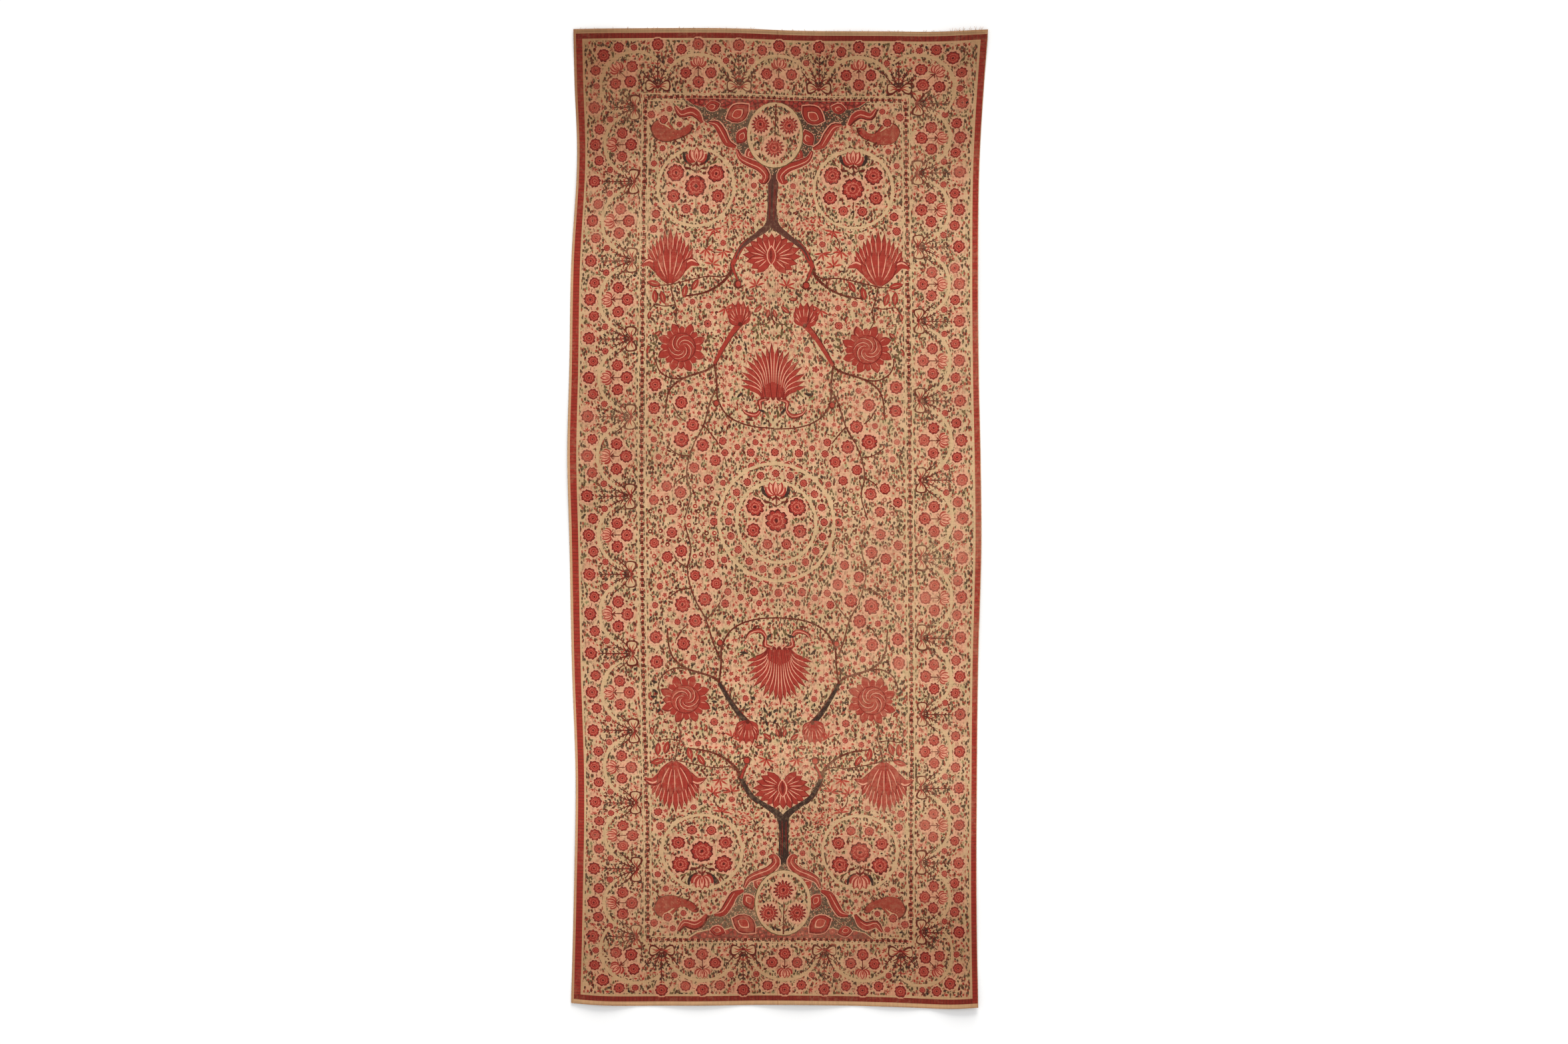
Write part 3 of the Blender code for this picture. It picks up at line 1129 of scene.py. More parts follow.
# How far in from the edges of the cloth things start and end, in mm.
SIDE_STRIPES = (
    # side, from, to
    (-1, 6.5, 23), (1, 1.5, 16),
)
END_MARGIN, END_STRIPE = (2.5, 12), (12, 26)
INNER_BANDS = (
    # left, right, both ends, ink, and the second leaves only a thin line of the first
    (23, 16, 26, "pale"), (28, 22, 32, "cotton"),
)
GUARD_LINES = (
    # out from the dotted line, ink
    (10.5, "pale"), (7.5, "cotton"), (-7.5, "pale"), (-10.5, "cotton"),
)
DOT_GAPS_ALONG, DOT_GAPS_ACROSS = 288, 91
TICK_UNIT = 10 * MM


def place_on_edge(edge, along):
    turn, line = EDGES[edge]
    return (line, along, turn) if edge in ("left", "right") else (along, line, turn)


def band(x0, y0, x1, y1, ink, axes=None, pitch=20 * MM):
    """A printed rectangle, with points close enough to follow the wandering edge."""
    along = np.linspace(0, 1, max(2, int(max(abs(x1 - x0), abs(y1 - y0)) / pitch) + 1))[:-1, None]
    corners = np.array(((x0, y0), (x1, y0), (x1, y1), (x0, y1), (x0, y0)))
    sides = []
    for start, end in zip(corners[:-1], corners[1:]):
        short = np.linalg.norm(end - start) < pitch
        sides.append(start + (end - start) * (along[:1] if short else along))
    PRINT.append((np.clip(np.vstack(sides), -EDGE, EDGE), ink, axes, 1.0))


def border_filling():
    """The filling of one arch and half a bow on either side."""
    unit = Block()
    unit.add(ARCH_BLOCK)
    for side in (-1, 1):
        unit.add(BOW_BLOCK, x=side * ARCH / 2)
    patch = Patch((-ARCH / 2, 12 * MM), (ARCH / 2, 155 * MM))
    patch.cover_all(unit)
    block = Block()
    fill(block, patch, 11, daisies=46 * MM)
    return block


def corner_block():
    """A corner: x and y both outwards from where the dotted lines cross."""
    block, bows = Block(), Block()
    block.add(ARCH_BLOCK, 13 * MM, 13 * MM, turn=-math.pi / 4)
    bows.add(BOW_BLOCK, x=-31 * MM)
    bows.add(BOW_BLOCK, y=-28 * MM, turn=-math.pi / 2)
    patch = Patch((-30 * MM, -27 * MM), (158 * MM, 153 * MM))
    patch.cover_all(block)
    patch.cover_all(bows)
    fill(block, patch, 12, daisies=0, within=lambda x, y: max(x, y) > 14 * MM)
    return block


def print_edges():
    """The margin, the stripes and the lines that run along the edges."""
    across, along = HALF_WIDTH, HALF_LENGTH
    band(-across, -along, across, along, "margin")
    for side, outer, inner in SIDE_STRIPES:
        axes = (side * (across - 15 * MM), 0.0, math.pi / 2, TICK_UNIT)
        outer_x, inner_x = side * (across - outer * MM), side * (across - inner * MM)
        end = along - END_STRIPE[0] * MM
        band(outer_x, -end, inner_x, end, "side stripe", axes)
        axes = (0.0, side * (along - 19 * MM), 0.0, TICK_UNIT)
        outer_y, inner_y = (side * (along - inset * MM) for inset in END_MARGIN)
        band(-across + 4 * MM, outer_y, across - 1 * MM, inner_y, "pale")
        outer_y, inner_y = (side * (along - inset * MM) for inset in END_STRIPE)
        band(-across + 8 * MM, outer_y, across - 1.5 * MM, inner_y, "end stripe", axes)
    for left, right, inset, ink in INNER_BANDS:
        end = along - inset * MM
        band(-across + left * MM, -end, across - right * MM, end, ink)
    for out, ink in GUARD_LINES:
        x, y = GUARD_X + out * MM, GUARD_Y + out * MM
        band(-x, -y, x, y, ink)


def print_garlands():
    """The arches and bows along the edges, and the corners."""
    filling = border_filling()
    for edge, bows in BOWS.items():
        for first, second in zip(bows[:-1], bows[1:]):
            x, y, turn = place_on_edge(edge, (first + second) / 2 * MM)
            squeeze = (second - first) * MM / ARCH
            mirror = hand.choice((-1, 1))
            stamp(filling, x, y, turn, squeeze=squeeze, mirror=mirror)
            stamp(ARCH_BLOCK, x, y, turn, squeeze=squeeze)
        for place in bows:
            x, y, turn = place_on_edge(edge, place * MM)
            stamp(BOW_BLOCK, x, y, turn)
    corner = corner_block()
    for x, y, turn, mirror in CORNERS:
        stamp(corner, x * GUARD_X, y * GUARD_Y, turn, mirror=mirror)


def dot(x, y, k):
    """One dot of the dotted line: dark and square, or red and smaller, in turn."""
    shape = Block()
    if k % 2:
        shape.lay(ring(6.0 * MM, 4, turn=math.pi / 4), "outline")
    else:
        shape.lay(ring(3.0 * MM, 4), "bright madder")
    stamp(shape, x, y, turn=hand.uniform(-0.2, 0.2))


def print_dotted_line():
    for side in (-1, 1):
        for k in range(DOT_GAPS_ALONG + 1):
            dot(side * GUARD_X, (k / DOT_GAPS_ALONG * 2 - 1) * GUARD_Y, k)
        for k in range(1, DOT_GAPS_ACROSS):
            dot((k / DOT_GAPS_ACROSS * 2 - 1) * GUARD_X, side * GUARD_Y, k)


print_edges()
print_garlands()
print_dotted_line()
print("the border has", len(PRINT), "shapes")

# %% [markdown]
# ## Print the field
# The field is the same four times: left and right, head and foot. One quarter is drawn and filled
# once, then stamped and mirrored. Only the tree's inks differ: the head's has a brown trunk and red
# boughs, and the foot's is iron black. The middle medallion is printed last, where the quarters meet.

# %% Print the field
TREE_INKS = {
    # what the head's and the foot's tree are printed in
    1: {"trunk": "brown", "bough": "madder", "foliage": "olive"},
    -1: {"trunk": "iron black", "bough": "iron black", "foliage": "iron black"},
}


def inked(block, inks):
    """The same block, with some of its inks changed."""
    changed = Block()
    changed.shapes = [(outline, inks.get(ink, ink), axes) for outline, ink, axes in block.shapes]
    return changed


def disc(radius, y_middle=0.0, flat=1.0):
    """Tells whether a place lies in a round or oval patch, clear of the ring about it."""
    return lambda x, y: math.hypot(x, (y - y_middle) / flat) < radius


FULL_OVAL = filled(OVAL, 16, disc(62 * MM, OVAL_MIDDLE, OVAL_FLAT))
FULL_MEDALLION = filled(MEDALLION, 17, disc(88 * MM))
FULL_MIDDLE = filled(MIDDLE_MEDALLION, 14, disc(141 * MM))


def quarter():
    block = Block()
    block.add(MOUND_SIDE)
    block.add(ANIMAL)
    block.add(TREE_SIDE)
    block.add(FULL_MEDALLION, *MEDALLION_AT, turn=math.pi)
    return block


def beside_middle(x, y):
    """The rows of eyelets lie only left and right of the middle medallion."""
    return x > 150 * MM and y > 1010 * MM


def field_filling(side):
    patch = Patch((3 * MM, 13 * MM), (GUARD_X - 12 * MM, GUARD_Y - 2 * MM))
    patch.cover_all(side)
    patch.cover_all(TREE_MIDDLE)
    patch.cover(oval_ring(OVAL_RADIUS))
    patch.cover(ring(RING * MM, 40, *MEDALLION_AT))
    patch.cover(ring((OUTER_RING + 2) * MM, 40, 0, GUARD_Y))
    filling = Block()
    scatter(filling, patch, random.Random(15), eyelet, 20 * MM, 8 * MM, within=beside_middle)
    fill(filling, patch, 13, rosettes=60 * MM)
    return filling


def print_field():
    side = quarter()
    filling = field_filling(side)
    for end, turn in ((1, math.pi), (-1, 0.0)):
        for mirror in (1, -1):
            stamp(filling, 0, end * GUARD_Y, turn, mirror=mirror)
        stamp(inked(TREE_MIDDLE, TREE_INKS[end]), 0, end * GUARD_Y, turn)
        for mirror in (1, -1):
            stamp(inked(side, TREE_INKS[end]), 0, end * GUARD_Y, turn, mirror=mirror)
        stamp(FULL_OVAL, 0, end * GUARD_Y, turn)
    stamp(FULL_MIDDLE)


print_field()
point_count = sum(len(row[0]) for row in PRINT)
print("the whole design has", len(PRINT), "shapes and", point_count, "points")

# %% [markdown]
# ## Cut the cloth along the print
# A constrained Delaunay triangulation turns outlines into one flat mesh in which no face is crossed by
# an outline. This keeps every printed edge sharp at any distance, with no image. A loose grid of points
# is added, so that the plain parts can follow the low waves too, and two lines for the turned hem.

# %% Triangulate the design
HEM, HEM_RISE = 7 * MM, 0.5 * MM  # the narrow hem is turned under, so it stands a little higher,
HEM_STEP = 0.8 * MM  # and slopes down to the cloth over this width
ACROSS, ALONG = 40, 96  # cells of the grid
MERGE = 1e-6  # points nearer than this become one


def rectangle_loop(inset):
    """Points round a rectangle, the corners among them, as the rim of the grid has them."""
    half_x, half_y = HALF_WIDTH - inset, HALF_LENGTH - inset
    x, y = np.linspace(-half_x, half_x, ACROSS + 1), np.linspace(-half_y, half_y, ALONG + 1)
    foot, head = [(u, -half_y) for u in x[:-1]], [(u, half_y) for u in x[:0:-1]]
    right, left = [(half_x, v) for v in y[:-1]], [(-half_x, v) for v in y[:0:-1]]
    return foot + right + head + left


def join_loops(loops):
    """All the points of some outlines, and their edges as pairs of points' numbers."""
    points, edges = [], []
    for loop in loops:
        edges += [(len(points) + k, len(points) + (k + 1) % len(loop)) for k in range(len(loop))]
        points += [tuple(point) for point in loop]
    return points, edges


def triangulate(points, edges):
    """A flat mesh that keeps these edges, along with the rim, the hem and the grid."""
    insets = (0, HEM, HEM + HEM_STEP)
    frame_points, frame_edges = join_loops([rectangle_loop(inset) for inset in insets])
    columns = np.linspace(-HALF_WIDTH, HALF_WIDTH, ACROSS + 1)[1:-1]
    rows = np.linspace(-HALF_LENGTH, HALF_LENGTH, ALONG + 1)[1:-1]
    grid = [(x, y) for x in columns for y in rows]
    first = len(frame_points)
    edges = frame_edges + [(a + first, b + first) for a, b in edges]
    places = [Vector(point) for point in frame_points + points + grid]
    made = delaunay_2d_cdt(places, edges, [], 0, MERGE)
    return np.array([tuple(point) for point in made[0]]), np.array(made[2])


all_points, all_faces = triangulate(*join_loops([row[0] for row in PRINT]))
print(len(all_points), "points and", len(all_faces), "triangles with every outline in")

# %% [markdown]
# ## Give each face its ink
# Each printed shape now claims the faces whose middle lies inside its outline. The shapes go in printing
# order, so a later one takes a face from an earlier one. The middles are sorted into rows of small
# squares first, because it would take minutes to test every face against every shape.

# %% Find the last shape over each face
SQUARE = 12 * MM


def windings(points, outline):
    """How often the outline goes round each point."""
    x, y = points.T
    turns = np.zeros(len(points), int)
    for (x0, y0), (x1, y1) in zip(outline, np.roll(outline, -1, axis=0)):
        side = (x1 - x0) * (y - y0) - (y1 - y0) * (x - x0)
        turns += ((y0 <= y) & (y1 > y) & (side > 0)).astype(int)
        turns -= ((y0 > y) & (y1 <= y) & (side < 0)).astype(int)
    return turns


def last_shapes(points, faces):
    """For each face, the number of the last shape printed over its middle, or -1."""
    middles = points[faces].mean(axis=1)
    square = np.floor((middles + (HALF_WIDTH, HALF_LENGTH)) / SQUARE).astype(int)
    columns = square[:, 0].max() + 1
    key = square[:, 1] * columns + square[:, 0]
    order = np.argsort(key, kind="stable")
    keys = key[order]
    last = np.full(len(faces), -1)
    for k, (outline, *_) in enumerate(PRINT):
        low, high = outline.min(axis=0), outline.max(axis=0)
        first = np.maximum(np.floor((low + (HALF_WIDTH, HALF_LENGTH)) / SQUARE).astype(int), 0)
        final = np.floor((high + (HALF_WIDTH, HALF_LENGTH)) / SQUARE).astype(int)
        rows = np.arange(first[1], final[1] + 1) * columns
        starts = np.searchsorted(keys, rows + first[0], side="left")
        ends = np.searchsorted(keys, rows + min(final[0], columns - 1), side="right")
        near = order[np.concatenate([np.arange(a, b) for a, b in zip(starts, ends)])]
        last[near[windings(middles[near], outline) != 0]] = k
    return last


all_shapes = last_shapes(all_points, all_faces)
print((all_shapes >= 0).mean().round(3), "of the faces are printed")

# %% [markdown]
# ## Leave out what is covered
# Most outlines run on under a later shape, and each crossing adds points for nothing. So only the edges
# between two different inks are kept, and points on a straight run are dropped. A second triangulation
# of these has over a third fewer faces and looks the same. A long straight run keeps some of its
# points, because it has to follow the wandering edges and the low waves.

# %% Keep only the edges that show
INKS = (
    "cotton", "blush", "pale", "margin", "madder", "bright madder", "deep madder", "outline",
    "iron black", "olive", "sage", "rosette", "spiked rosette", "daisy", "side stripe", "end stripe",
    "brown", "stippled rock", "spotted", "scales", "back",
)
STRAIGHT = 0.2 * MM  # a point this near to the line between its neighbours is dropped,
LONGEST = 22 * MM  # unless that leaves an edge longer than this


def inks_of(shapes):
    return np.array([INKS.index(PRINT[k][1]) if k >= 0 else 0 for k in shapes])


def edges_that_show(points, faces, shapes):
    """The points and edges between faces of different ink, or of different patterned shapes."""
    patterned = np.array([row[2] is not None for row in PRINT] + [False])
    region = np.where(patterned[shapes], shapes + len(INKS), inks_of(shapes))
    sides = np.sort(np.vstack((faces[:, [0, 1]], faces[:, [1, 2]], faces[:, [2, 0]])), axis=1)
    code = sides[:, 0] * len(points) + sides[:, 1]
    order = np.argsort(code, kind="stable")
    code, sides, region = code[order], sides[order], np.tile(region, 3)[order]
    twins = np.flatnonzero(code[:-1] == code[1:])
    beside = {}
    for a, b in sides[twins[region[twins] != region[twins + 1]]].tolist():
        beside.setdefault(a, set()).add(b)
        beside.setdefault(b, set()).add(a)
    for middle in list(beside):
        if len(beside[middle]) != 2:
            continue
        a, b = beside[middle]
        run, aside = points[b] - points[a], points[middle] - points[a]
        length, off_line = math.hypot(*run), abs(run[0] * aside[1] - run[1] * aside[0])
        if b not in beside[a] and length < LONGEST and off_line < STRAIGHT * length:
            del beside[middle]
            beside[a] = beside[a] - {middle} | {b}
            beside[b] = beside[b] - {middle} | {a}
    number = {point: k for k, point in enumerate(beside)}
    edges = [(number[a], number[b]) for a in beside for b in beside[a] if a < b]
    return [tuple(points[point]) for point in beside], edges


flat_points, triangles = triangulate(*edges_that_show(all_points, all_faces, all_shapes))
last_shape = last_shapes(flat_points, triangles)
print(len(flat_points), "points and", len(triangles), "triangles in the printed side")

# %% [markdown]
# ## Make the cloth
# The flat mesh is carried to the cloth's real outline and lifted to where the cloth lies. Three things
# are stored for the dyes. A UV map called "print" gives each shape's own place, which lets an ink draw
# a flower in it. "load" says how much dye each shape took, and "near red" is 1 beside the red shapes,
# where their mordant tinted the ground. The back is a plain grid, joined to the front by a wall.

# %% Build the mesh
REDS = (
    "madder", "bright madder", "deep madder", "rosette", "spiked rosette", "daisy", "scales",
)
face_ink = inks_of(last_shape)
face_load = np.array([PRINT[k][3] if k >= 0 else 1.0 for k in last_shape])


def print_coordinates():
    """Where each corner of each face is in its own shape, or in the design for plain inks."""
    corners = flat_points[triangles]
    for k, (_, _, axes, _) in enumerate(PRINT):
        if axes is not None:
            faces = np.flatnonzero(last_shape == k)
            x, y, turn, unit = axes
            corners[faces] = rotated(corners[faces] - (x, y), -turn) / unit
    return corners.reshape(-1, 2)


def hem_rise(design):
    """The turned hem is thicker than the single cloth."""
    inside = np.minimum(HALF_WIDTH - np.abs(design[:, 0]), HALF_LENGTH - np.abs(design[:, 1]))
    return np.where(inside < HEM + 0.1 * MM, HEM_RISE, 0.0)


def printed_side():
    mesh = bpy.data.meshes.new("printed cloth")
    laid = to_cloth(flat_points)
    height = lie(laid) + THICK + hem_rise(flat_points)
    mesh.from_pydata(np.column_stack((laid + OFFSET, height)).tolist(), [], triangles.tolist())
    mesh.polygons.foreach_set("material_index", face_ink)
    mesh.uv_layers.new(name="print").uv.foreach_set("vector", print_coordinates().ravel())
    mesh.attributes.new("load", "FLOAT", "FACE").data.foreach_set("value", face_load)
    near_red = np.zeros(len(flat_points))
    red_faces = np.isin(face_ink, [INKS.index(ink) for ink in REDS])
    near_red[triangles[red_faces].ravel()] = 1.0
    mesh.attributes.new("near red", "FLOAT", "POINT").data.foreach_set("value", near_red)
    return mesh


def add_back(bm):
    """A wall all round, down to a plain grid that closes the cloth from below."""
    rim = [edge for edge in bm.edges if edge.is_boundary]
    wall = bmesh.ops.extrude_edge_only(bm, edges=rim)["geom"]
    lower = [item for item in wall if isinstance(item, bmesh.types.BMVert)]
    bmesh.ops.translate(bm, verts=lower, vec=(0, 0, -THICK - HEM_RISE))
    for face in wall:
        if isinstance(face, bmesh.types.BMFace):
            face.material_index = INKS.index("margin")
    grid = bmesh.ops.create_grid(bm, x_segments=ACROSS, y_segments=ALONG, size=1.0)["verts"]
    laid = to_cloth(np.array([(v.co.x * HALF_WIDTH, v.co.y * HALF_LENGTH) for v in grid]))
    for vert, (x, y), z in zip(grid, laid + OFFSET, lie(laid)):
        vert.co = (x, y, z)
    for face in {face for vert in grid for face in vert.link_faces}:
        face.material_index = INKS.index("back")
    loose = [vert for vert in bm.verts if vert.is_boundary]
    bmesh.ops.remove_doubles(bm, verts=loose, dist=0.05 * MM)
    bmesh.ops.recalc_face_normals(bm, faces=bm.faces)


def add_object(name, data):
    """A new object in the scene."""
    item = bpy.data.objects.new(name, data)
    bpy.context.scene.collection.objects.link(item)
    return item


def make_cloth():
    mesh = printed_side()
    bm = bmesh.new()
    bm.from_mesh(mesh)
    add_back(bm)
    print("open edges left in the cloth:", sum(edge.is_boundary for edge in bm.edges))
    bm.to_mesh(mesh)
    bm.free()
    mesh.shade_smooth()
    mesh.set_sharp_from_angle(angle=math.radians(50))
    return add_object("palampore", mesh)


cloth = make_cloth()
print("the cloth has", len(cloth.data.polygons), "faces")

# %% [markdown]
# ## Helpers for the materials
# A material in Blender is a graph. These helpers add one node each and join it up, so that a pattern
# reads like a sum. `calc` does arithmetic, `ramp` turns a range into 0 to 1, and `blend` mixes colours.

# %% Node helpers
def join(tree, value, socket):
    if isinstance(value, bpy.types.NodeSocket):
        tree.links.new(value, socket)
    elif value is not None:
        socket.default_value = value


def calc(tree, operation, a, b=None, c=None):
    """One sum of arithmetic, named as Blender's Math node names it."""
    node = tree.nodes.new("ShaderNodeMath")
    node.operation = operation
    for value, socket in zip((a, b, c), node.inputs):
        join(tree, value, socket)
    return node.outputs[0]


def ramp(tree, value, start, end, low=0.0, high=1.0):
    """Low below start, high above end, and smooth between."""
    node = tree.nodes.new("ShaderNodeMapRange")
    node.interpolation_type = "SMOOTHSTEP"
    for item, socket in zip((value, start, end, low, high), node.inputs):
        join(tree, item, socket)
    return node.outputs[0]


def product(tree, a, b):
    return calc(tree, "MULTIPLY", a, b)


def total(tree, first, *others):
    for other in others:
        first = calc(tree, "ADD", first, other)
    return first


def blend(tree, factor, a, b, mode="MIX"):
    node = tree.nodes.new("ShaderNodeMix")
    node.data_type = "RGBA"
    node.blend_type = mode
    for value, socket in ((factor, node.inputs[0]), (a, node.inputs[6]), (b, node.inputs[7])):
        join(tree, value, socket)
    return node.outputs[2]


def noise(tree, where, scale, detail=2.0, stretch=(1, 1, 1)):
    mapping = tree.nodes.new("ShaderNodeMapping")
    mapping.inputs["Scale"].default_value = stretch
    join(tree, where, mapping.inputs["Vector"])
    node = tree.nodes.new("ShaderNodeTexNoise")
    node.inputs["Scale"].default_value = scale
    node.inputs["Detail"].default_value = detail
    join(tree, mapping.outputs[0], node.inputs["Vector"])
    return node.outputs[0]


def cells(tree, where, scale, feature="F1"):
    node = tree.nodes.new("ShaderNodeTexVoronoi")
    node.feature = feature
    node.inputs["Scale"].default_value = scale
    join(tree, where, node.inputs["Vector"])
    return node.outputs["Distance"]


def split(tree, vector):
    node = tree.nodes.new("ShaderNodeSeparateXYZ")
    join(tree, vector, node.inputs[0])
    return node.outputs


def place(tree):
    return tree.nodes.new("ShaderNodeTexCoord").outputs["Object"]


def group(name, sockets_in, sockets_out):
    """An empty node group with named sockets, each given as name and kind."""
    tree = bpy.data.node_groups.new(name, "ShaderNodeTree")
    kinds = {"value": "NodeSocketFloat", "colour": "NodeSocketColor", "vector": "NodeSocketVector"}
    for title, kind in sockets_in:
        tree.interface.new_socket(title, in_out="INPUT", socket_type=kinds[kind])
    for title, kind in sockets_out:
        tree.interface.new_socket(title, in_out="OUTPUT", socket_type=kinds[kind])
    return tree, tree.nodes.new("NodeGroupInput").outputs, tree.nodes.new("NodeGroupOutput").inputs


def attribute(tree, name):
    node = tree.nodes.new("ShaderNodeAttribute")
    node.attribute_name = name
    return node.outputs["Fac"]


def use(tree, shared, **values):
    """Places a shared group in a tree. Underscores in the names stand for spaces."""
    node = tree.nodes.new("ShaderNodeGroup")
    node.node_tree = shared
    for title, value in values.items():
        join(tree, value, node.inputs[title.replace("_", " ")])
    return node.outputs


def dye(red, green, blue):
    """A dye's colour as the eye and a screen have it, 11 to 255, made linear for the shader."""
    return (*(((v / 255 + 0.055) / 1.055) ** 2.4 for v in (red, green, blue)), 1.0)


print("the helpers are ready")

# %% [markdown]
# ## Hand-woven cotton
# Hand-spun thread is never even. Across the whole cloth run fine warp and weft threads, some of them
# thicker, which show as faint streaks. The group gives the thread's shade and its height for the bump.

# %% Group: hand-woven cotton
THREAD = 1.1 * MM  # from one thread to the next
STREAK = (260, 9, 1)  # how often the thread's thickness changes across it and along it, in a metre


def make_weave():
    outputs = (("Shade", "value"), ("Height", "value"))
    tree, _, out = group("Hand-woven cotton", (), outputs)
    where = place(tree)
    x, y, _ = split(tree, where)
    threads = []
    for across, stretch in ((x, STREAK), (y, (STREAK[1], STREAK[0], STREAK[2]))):
        wander = noise(tree, where, 1.0, 1.0, stretch)
        shift = product(tree, wander, 5.0)
        phase = calc(tree, "MULTIPLY_ADD", across, 2 * math.pi / THREAD, shift)
        threads.append((calc(tree, "SINE", phase), wander))
    (warp, warp_streak), (weft, weft_streak) = threads
    knots = product(tree, warp, weft)
    streaks = total(tree, warp_streak, weft_streak)
    shade = ramp(tree, streaks, 0.65, 1.35, 0.90, 1.10)
    join(tree, calc(tree, "MULTIPLY_ADD", knots, 0.04, shade), out["Shade"])
    knots = product(tree, knots, 0.5)
    join(tree, calc(tree, "MULTIPLY_ADD", streaks, 0.8, knots), out["Height"])
    return tree


WEAVE = make_weave()
print("made", WEAVE.name)

# %% [markdown]
# ## Worn dye, dirt and painted light
# Long years of washing and light lift a dye unevenly, in soft clouds and thread by thread. Towards the
# middle of the right side the dye is lighter still: partly real fading, and partly painted light. The
# cloth is darker at both ends and along the left: partly real dirt from handling and damp, and partly
# painted shade where the light falls off. A thin line along the middle crease is darker too, and there
# are a few blotches of dirt. One group wears the dye and paints that light, the other darkens whatever
# colour comes out, with dirt and painted shade.

# %% Groups: worn dye with painted light, and dirt with painted shade
# the brown that darkens the cloth, both for dirt and for painted shade
SOIL_AND_SHADE_BROWN = dye(150, 112, 84)


def make_worn_dye_and_painted_light():
    inputs = (("Cover", "value"), ("Load", "value"))
    tree, given, out = group("Old dye and painted light", inputs, (("Cover", "value"),))
    where = place(tree)
    x, y, _ = split(tree, where)
    clouds = ramp(tree, noise(tree, where, 3.2, 2.0), 0.40, 0.72, 0.0, 0.14)
    mottle = ramp(tree, noise(tree, where, 90, 2.0), 0.40, 0.70, 0.0, 0.14)
    threads = ramp(tree, noise(tree, where, 700, 1.0), 0.50, 0.75, 0.0, 0.16)
    near_middle = ramp(tree, calc(tree, "ABSOLUTE", y), 0.3, 0.9, 1.0, 0.0)
    # the dye is lighter towards the middle of the right side: partly real fading, and partly painted
    # light
    worn_and_lit_side = product(tree, ramp(tree, x, 0.0, 0.30, 0.0, 0.10), near_middle)
    lost_and_lit = total(tree, clouds, mottle, threads, worn_and_lit_side)
    dye_shown = calc(tree, "SUBTRACT", given["Load"], lost_and_lit)
    clamp = tree.nodes.new("ShaderNodeClamp")
    join(tree, product(tree, given["Cover"], dye_shown), clamp.inputs[0])
    join(tree, clamp.outputs[0], out["Cover"])
    return tree


def make_soil_and_painted_shade():
    # Darkens whatever colour comes out: blotches of dirt, and darker ends and left side that are partly
    # dirt and partly painted shade.
    tree, given, out = group("Soil and painted shade", (("Color", "colour"),), (("Color", "colour"),))
    where = place(tree)
    x, y, _ = split(tree, where)
    # darker towards the foot, the head and the left: partly real dirt from handling, and partly painted
    # shade where the light falls off
    foot = ramp(tree, y, -1.30, -0.60, 0.50, 0.0)
    head = ramp(tree, y, 0.65, 1.30, 0.0, 0.52)
    left = product(tree, ramp(tree, x, -0.54, -0.25, 0.17, 0.0), ramp(tree, y, -0.9, 0.1))
    clouds = ramp(tree, noise(tree, where, 2.4, 3.0), 0.40, 0.75, 0.0, 0.16)
    crease = ramp(tree, calc(tree, "ABSOLUTE", x), 0.0, 3 * MM, 0.16, 0.0)
    soil_and_shade = total(tree, foot, head, left, clouds, crease)
    join(tree, blend(tree, soil_and_shade, given["Color"], SOIL_AND_SHADE_BROWN, "MULTIPLY"), out["Color"])
    return tree


WORN_DYE_AND_PAINTED_LIGHT, SOIL_AND_PAINTED_SHADE = make_worn_dye_and_painted_light(), make_soil_and_painted_shade()
print("made", WORN_DYE_AND_PAINTED_LIGHT.name, "and", SOIL_AND_PAINTED_SHADE.name)

# %% [markdown]
# ## The ground
# The cotton was never white. It is a warm tan, more yellow where nothing red is near and rosier beside
# the red flowers, and tiny specks of dye cover it. Every printed colour lies on this ground, so it is a
# group too, and shows through where the dye is worn.

# %% Group: the ground
TAN, ROSY, YELLOW = dye(212, 173, 133), dye(226, 158, 128), dye(192, 164, 120)
GROUND_SPECKS = (
    # how many in a metre, turn, size as a share of their spacing, colour
    (140, 0.3, 0.28, dye(100, 86, 52)),
    (130, 1.2, 0.31, dye(158, 62, 46)),
    (145, 2.2, 0.33, dye(76, 48, 34)),
)


def make_ground():
    inputs = (("Rosy", "value"), ("Specks", "value"))
    tree, given, out = group("Ground", inputs, (("Color", "colour"),))
    where = place(tree)
    drift = ramp(tree, noise(tree, where, 26, 2.0), 0.40, 0.66, 0.0, 0.7)
    plain = blend(tree, drift, TAN, YELLOW)
    clouds = ramp(tree, noise(tree, where, 40, 1.0), 0.3, 0.6, 0.25, 0.65)
    rosy = product(tree, calc(tree, "POWER", given["Rosy"], 1.8), clouds)
    colour = blend(tree, rosy, plain, ROSY)
    specks = product(tree, given["Specks"], ramp(tree, given["Rosy"], 0.35, 0.75, 1.0, 0.3))
    for scale, turn, limit, speck_colour in GROUND_SPECKS:
        mapping = tree.nodes.new("ShaderNodeMapping")
        mapping.inputs["Rotation"].default_value = (0, 0, turn)
        mapping.inputs["Scale"].default_value = (1.0, 0.55, 1.0)
        mapping.inputs["Location"].default_value = (turn, turn, 0)
        join(tree, where, mapping.inputs["Vector"])
        near = cells(tree, mapping.outputs[0], scale)
        dots = product(tree, ramp(tree, near, limit, limit * 1.3, 0.9, 0.0), specks)
        colour = blend(tree, dots, colour, speck_colour)
    join(tree, colour, out["Color"])
    return tree


GROUND = make_ground()
print("made", GROUND.name)

# %% [markdown]
# ## The flower in a rosette's cell
# A rosette is too fine for faces: petals with a dark edge, light lines between them, an inner ring of
# petals and a dark eye. The group draws it round the middle of the shape's own UV map. The number of
# petals, how far they point and how sharp they are make it a rosette, a spiked flower or a daisy.

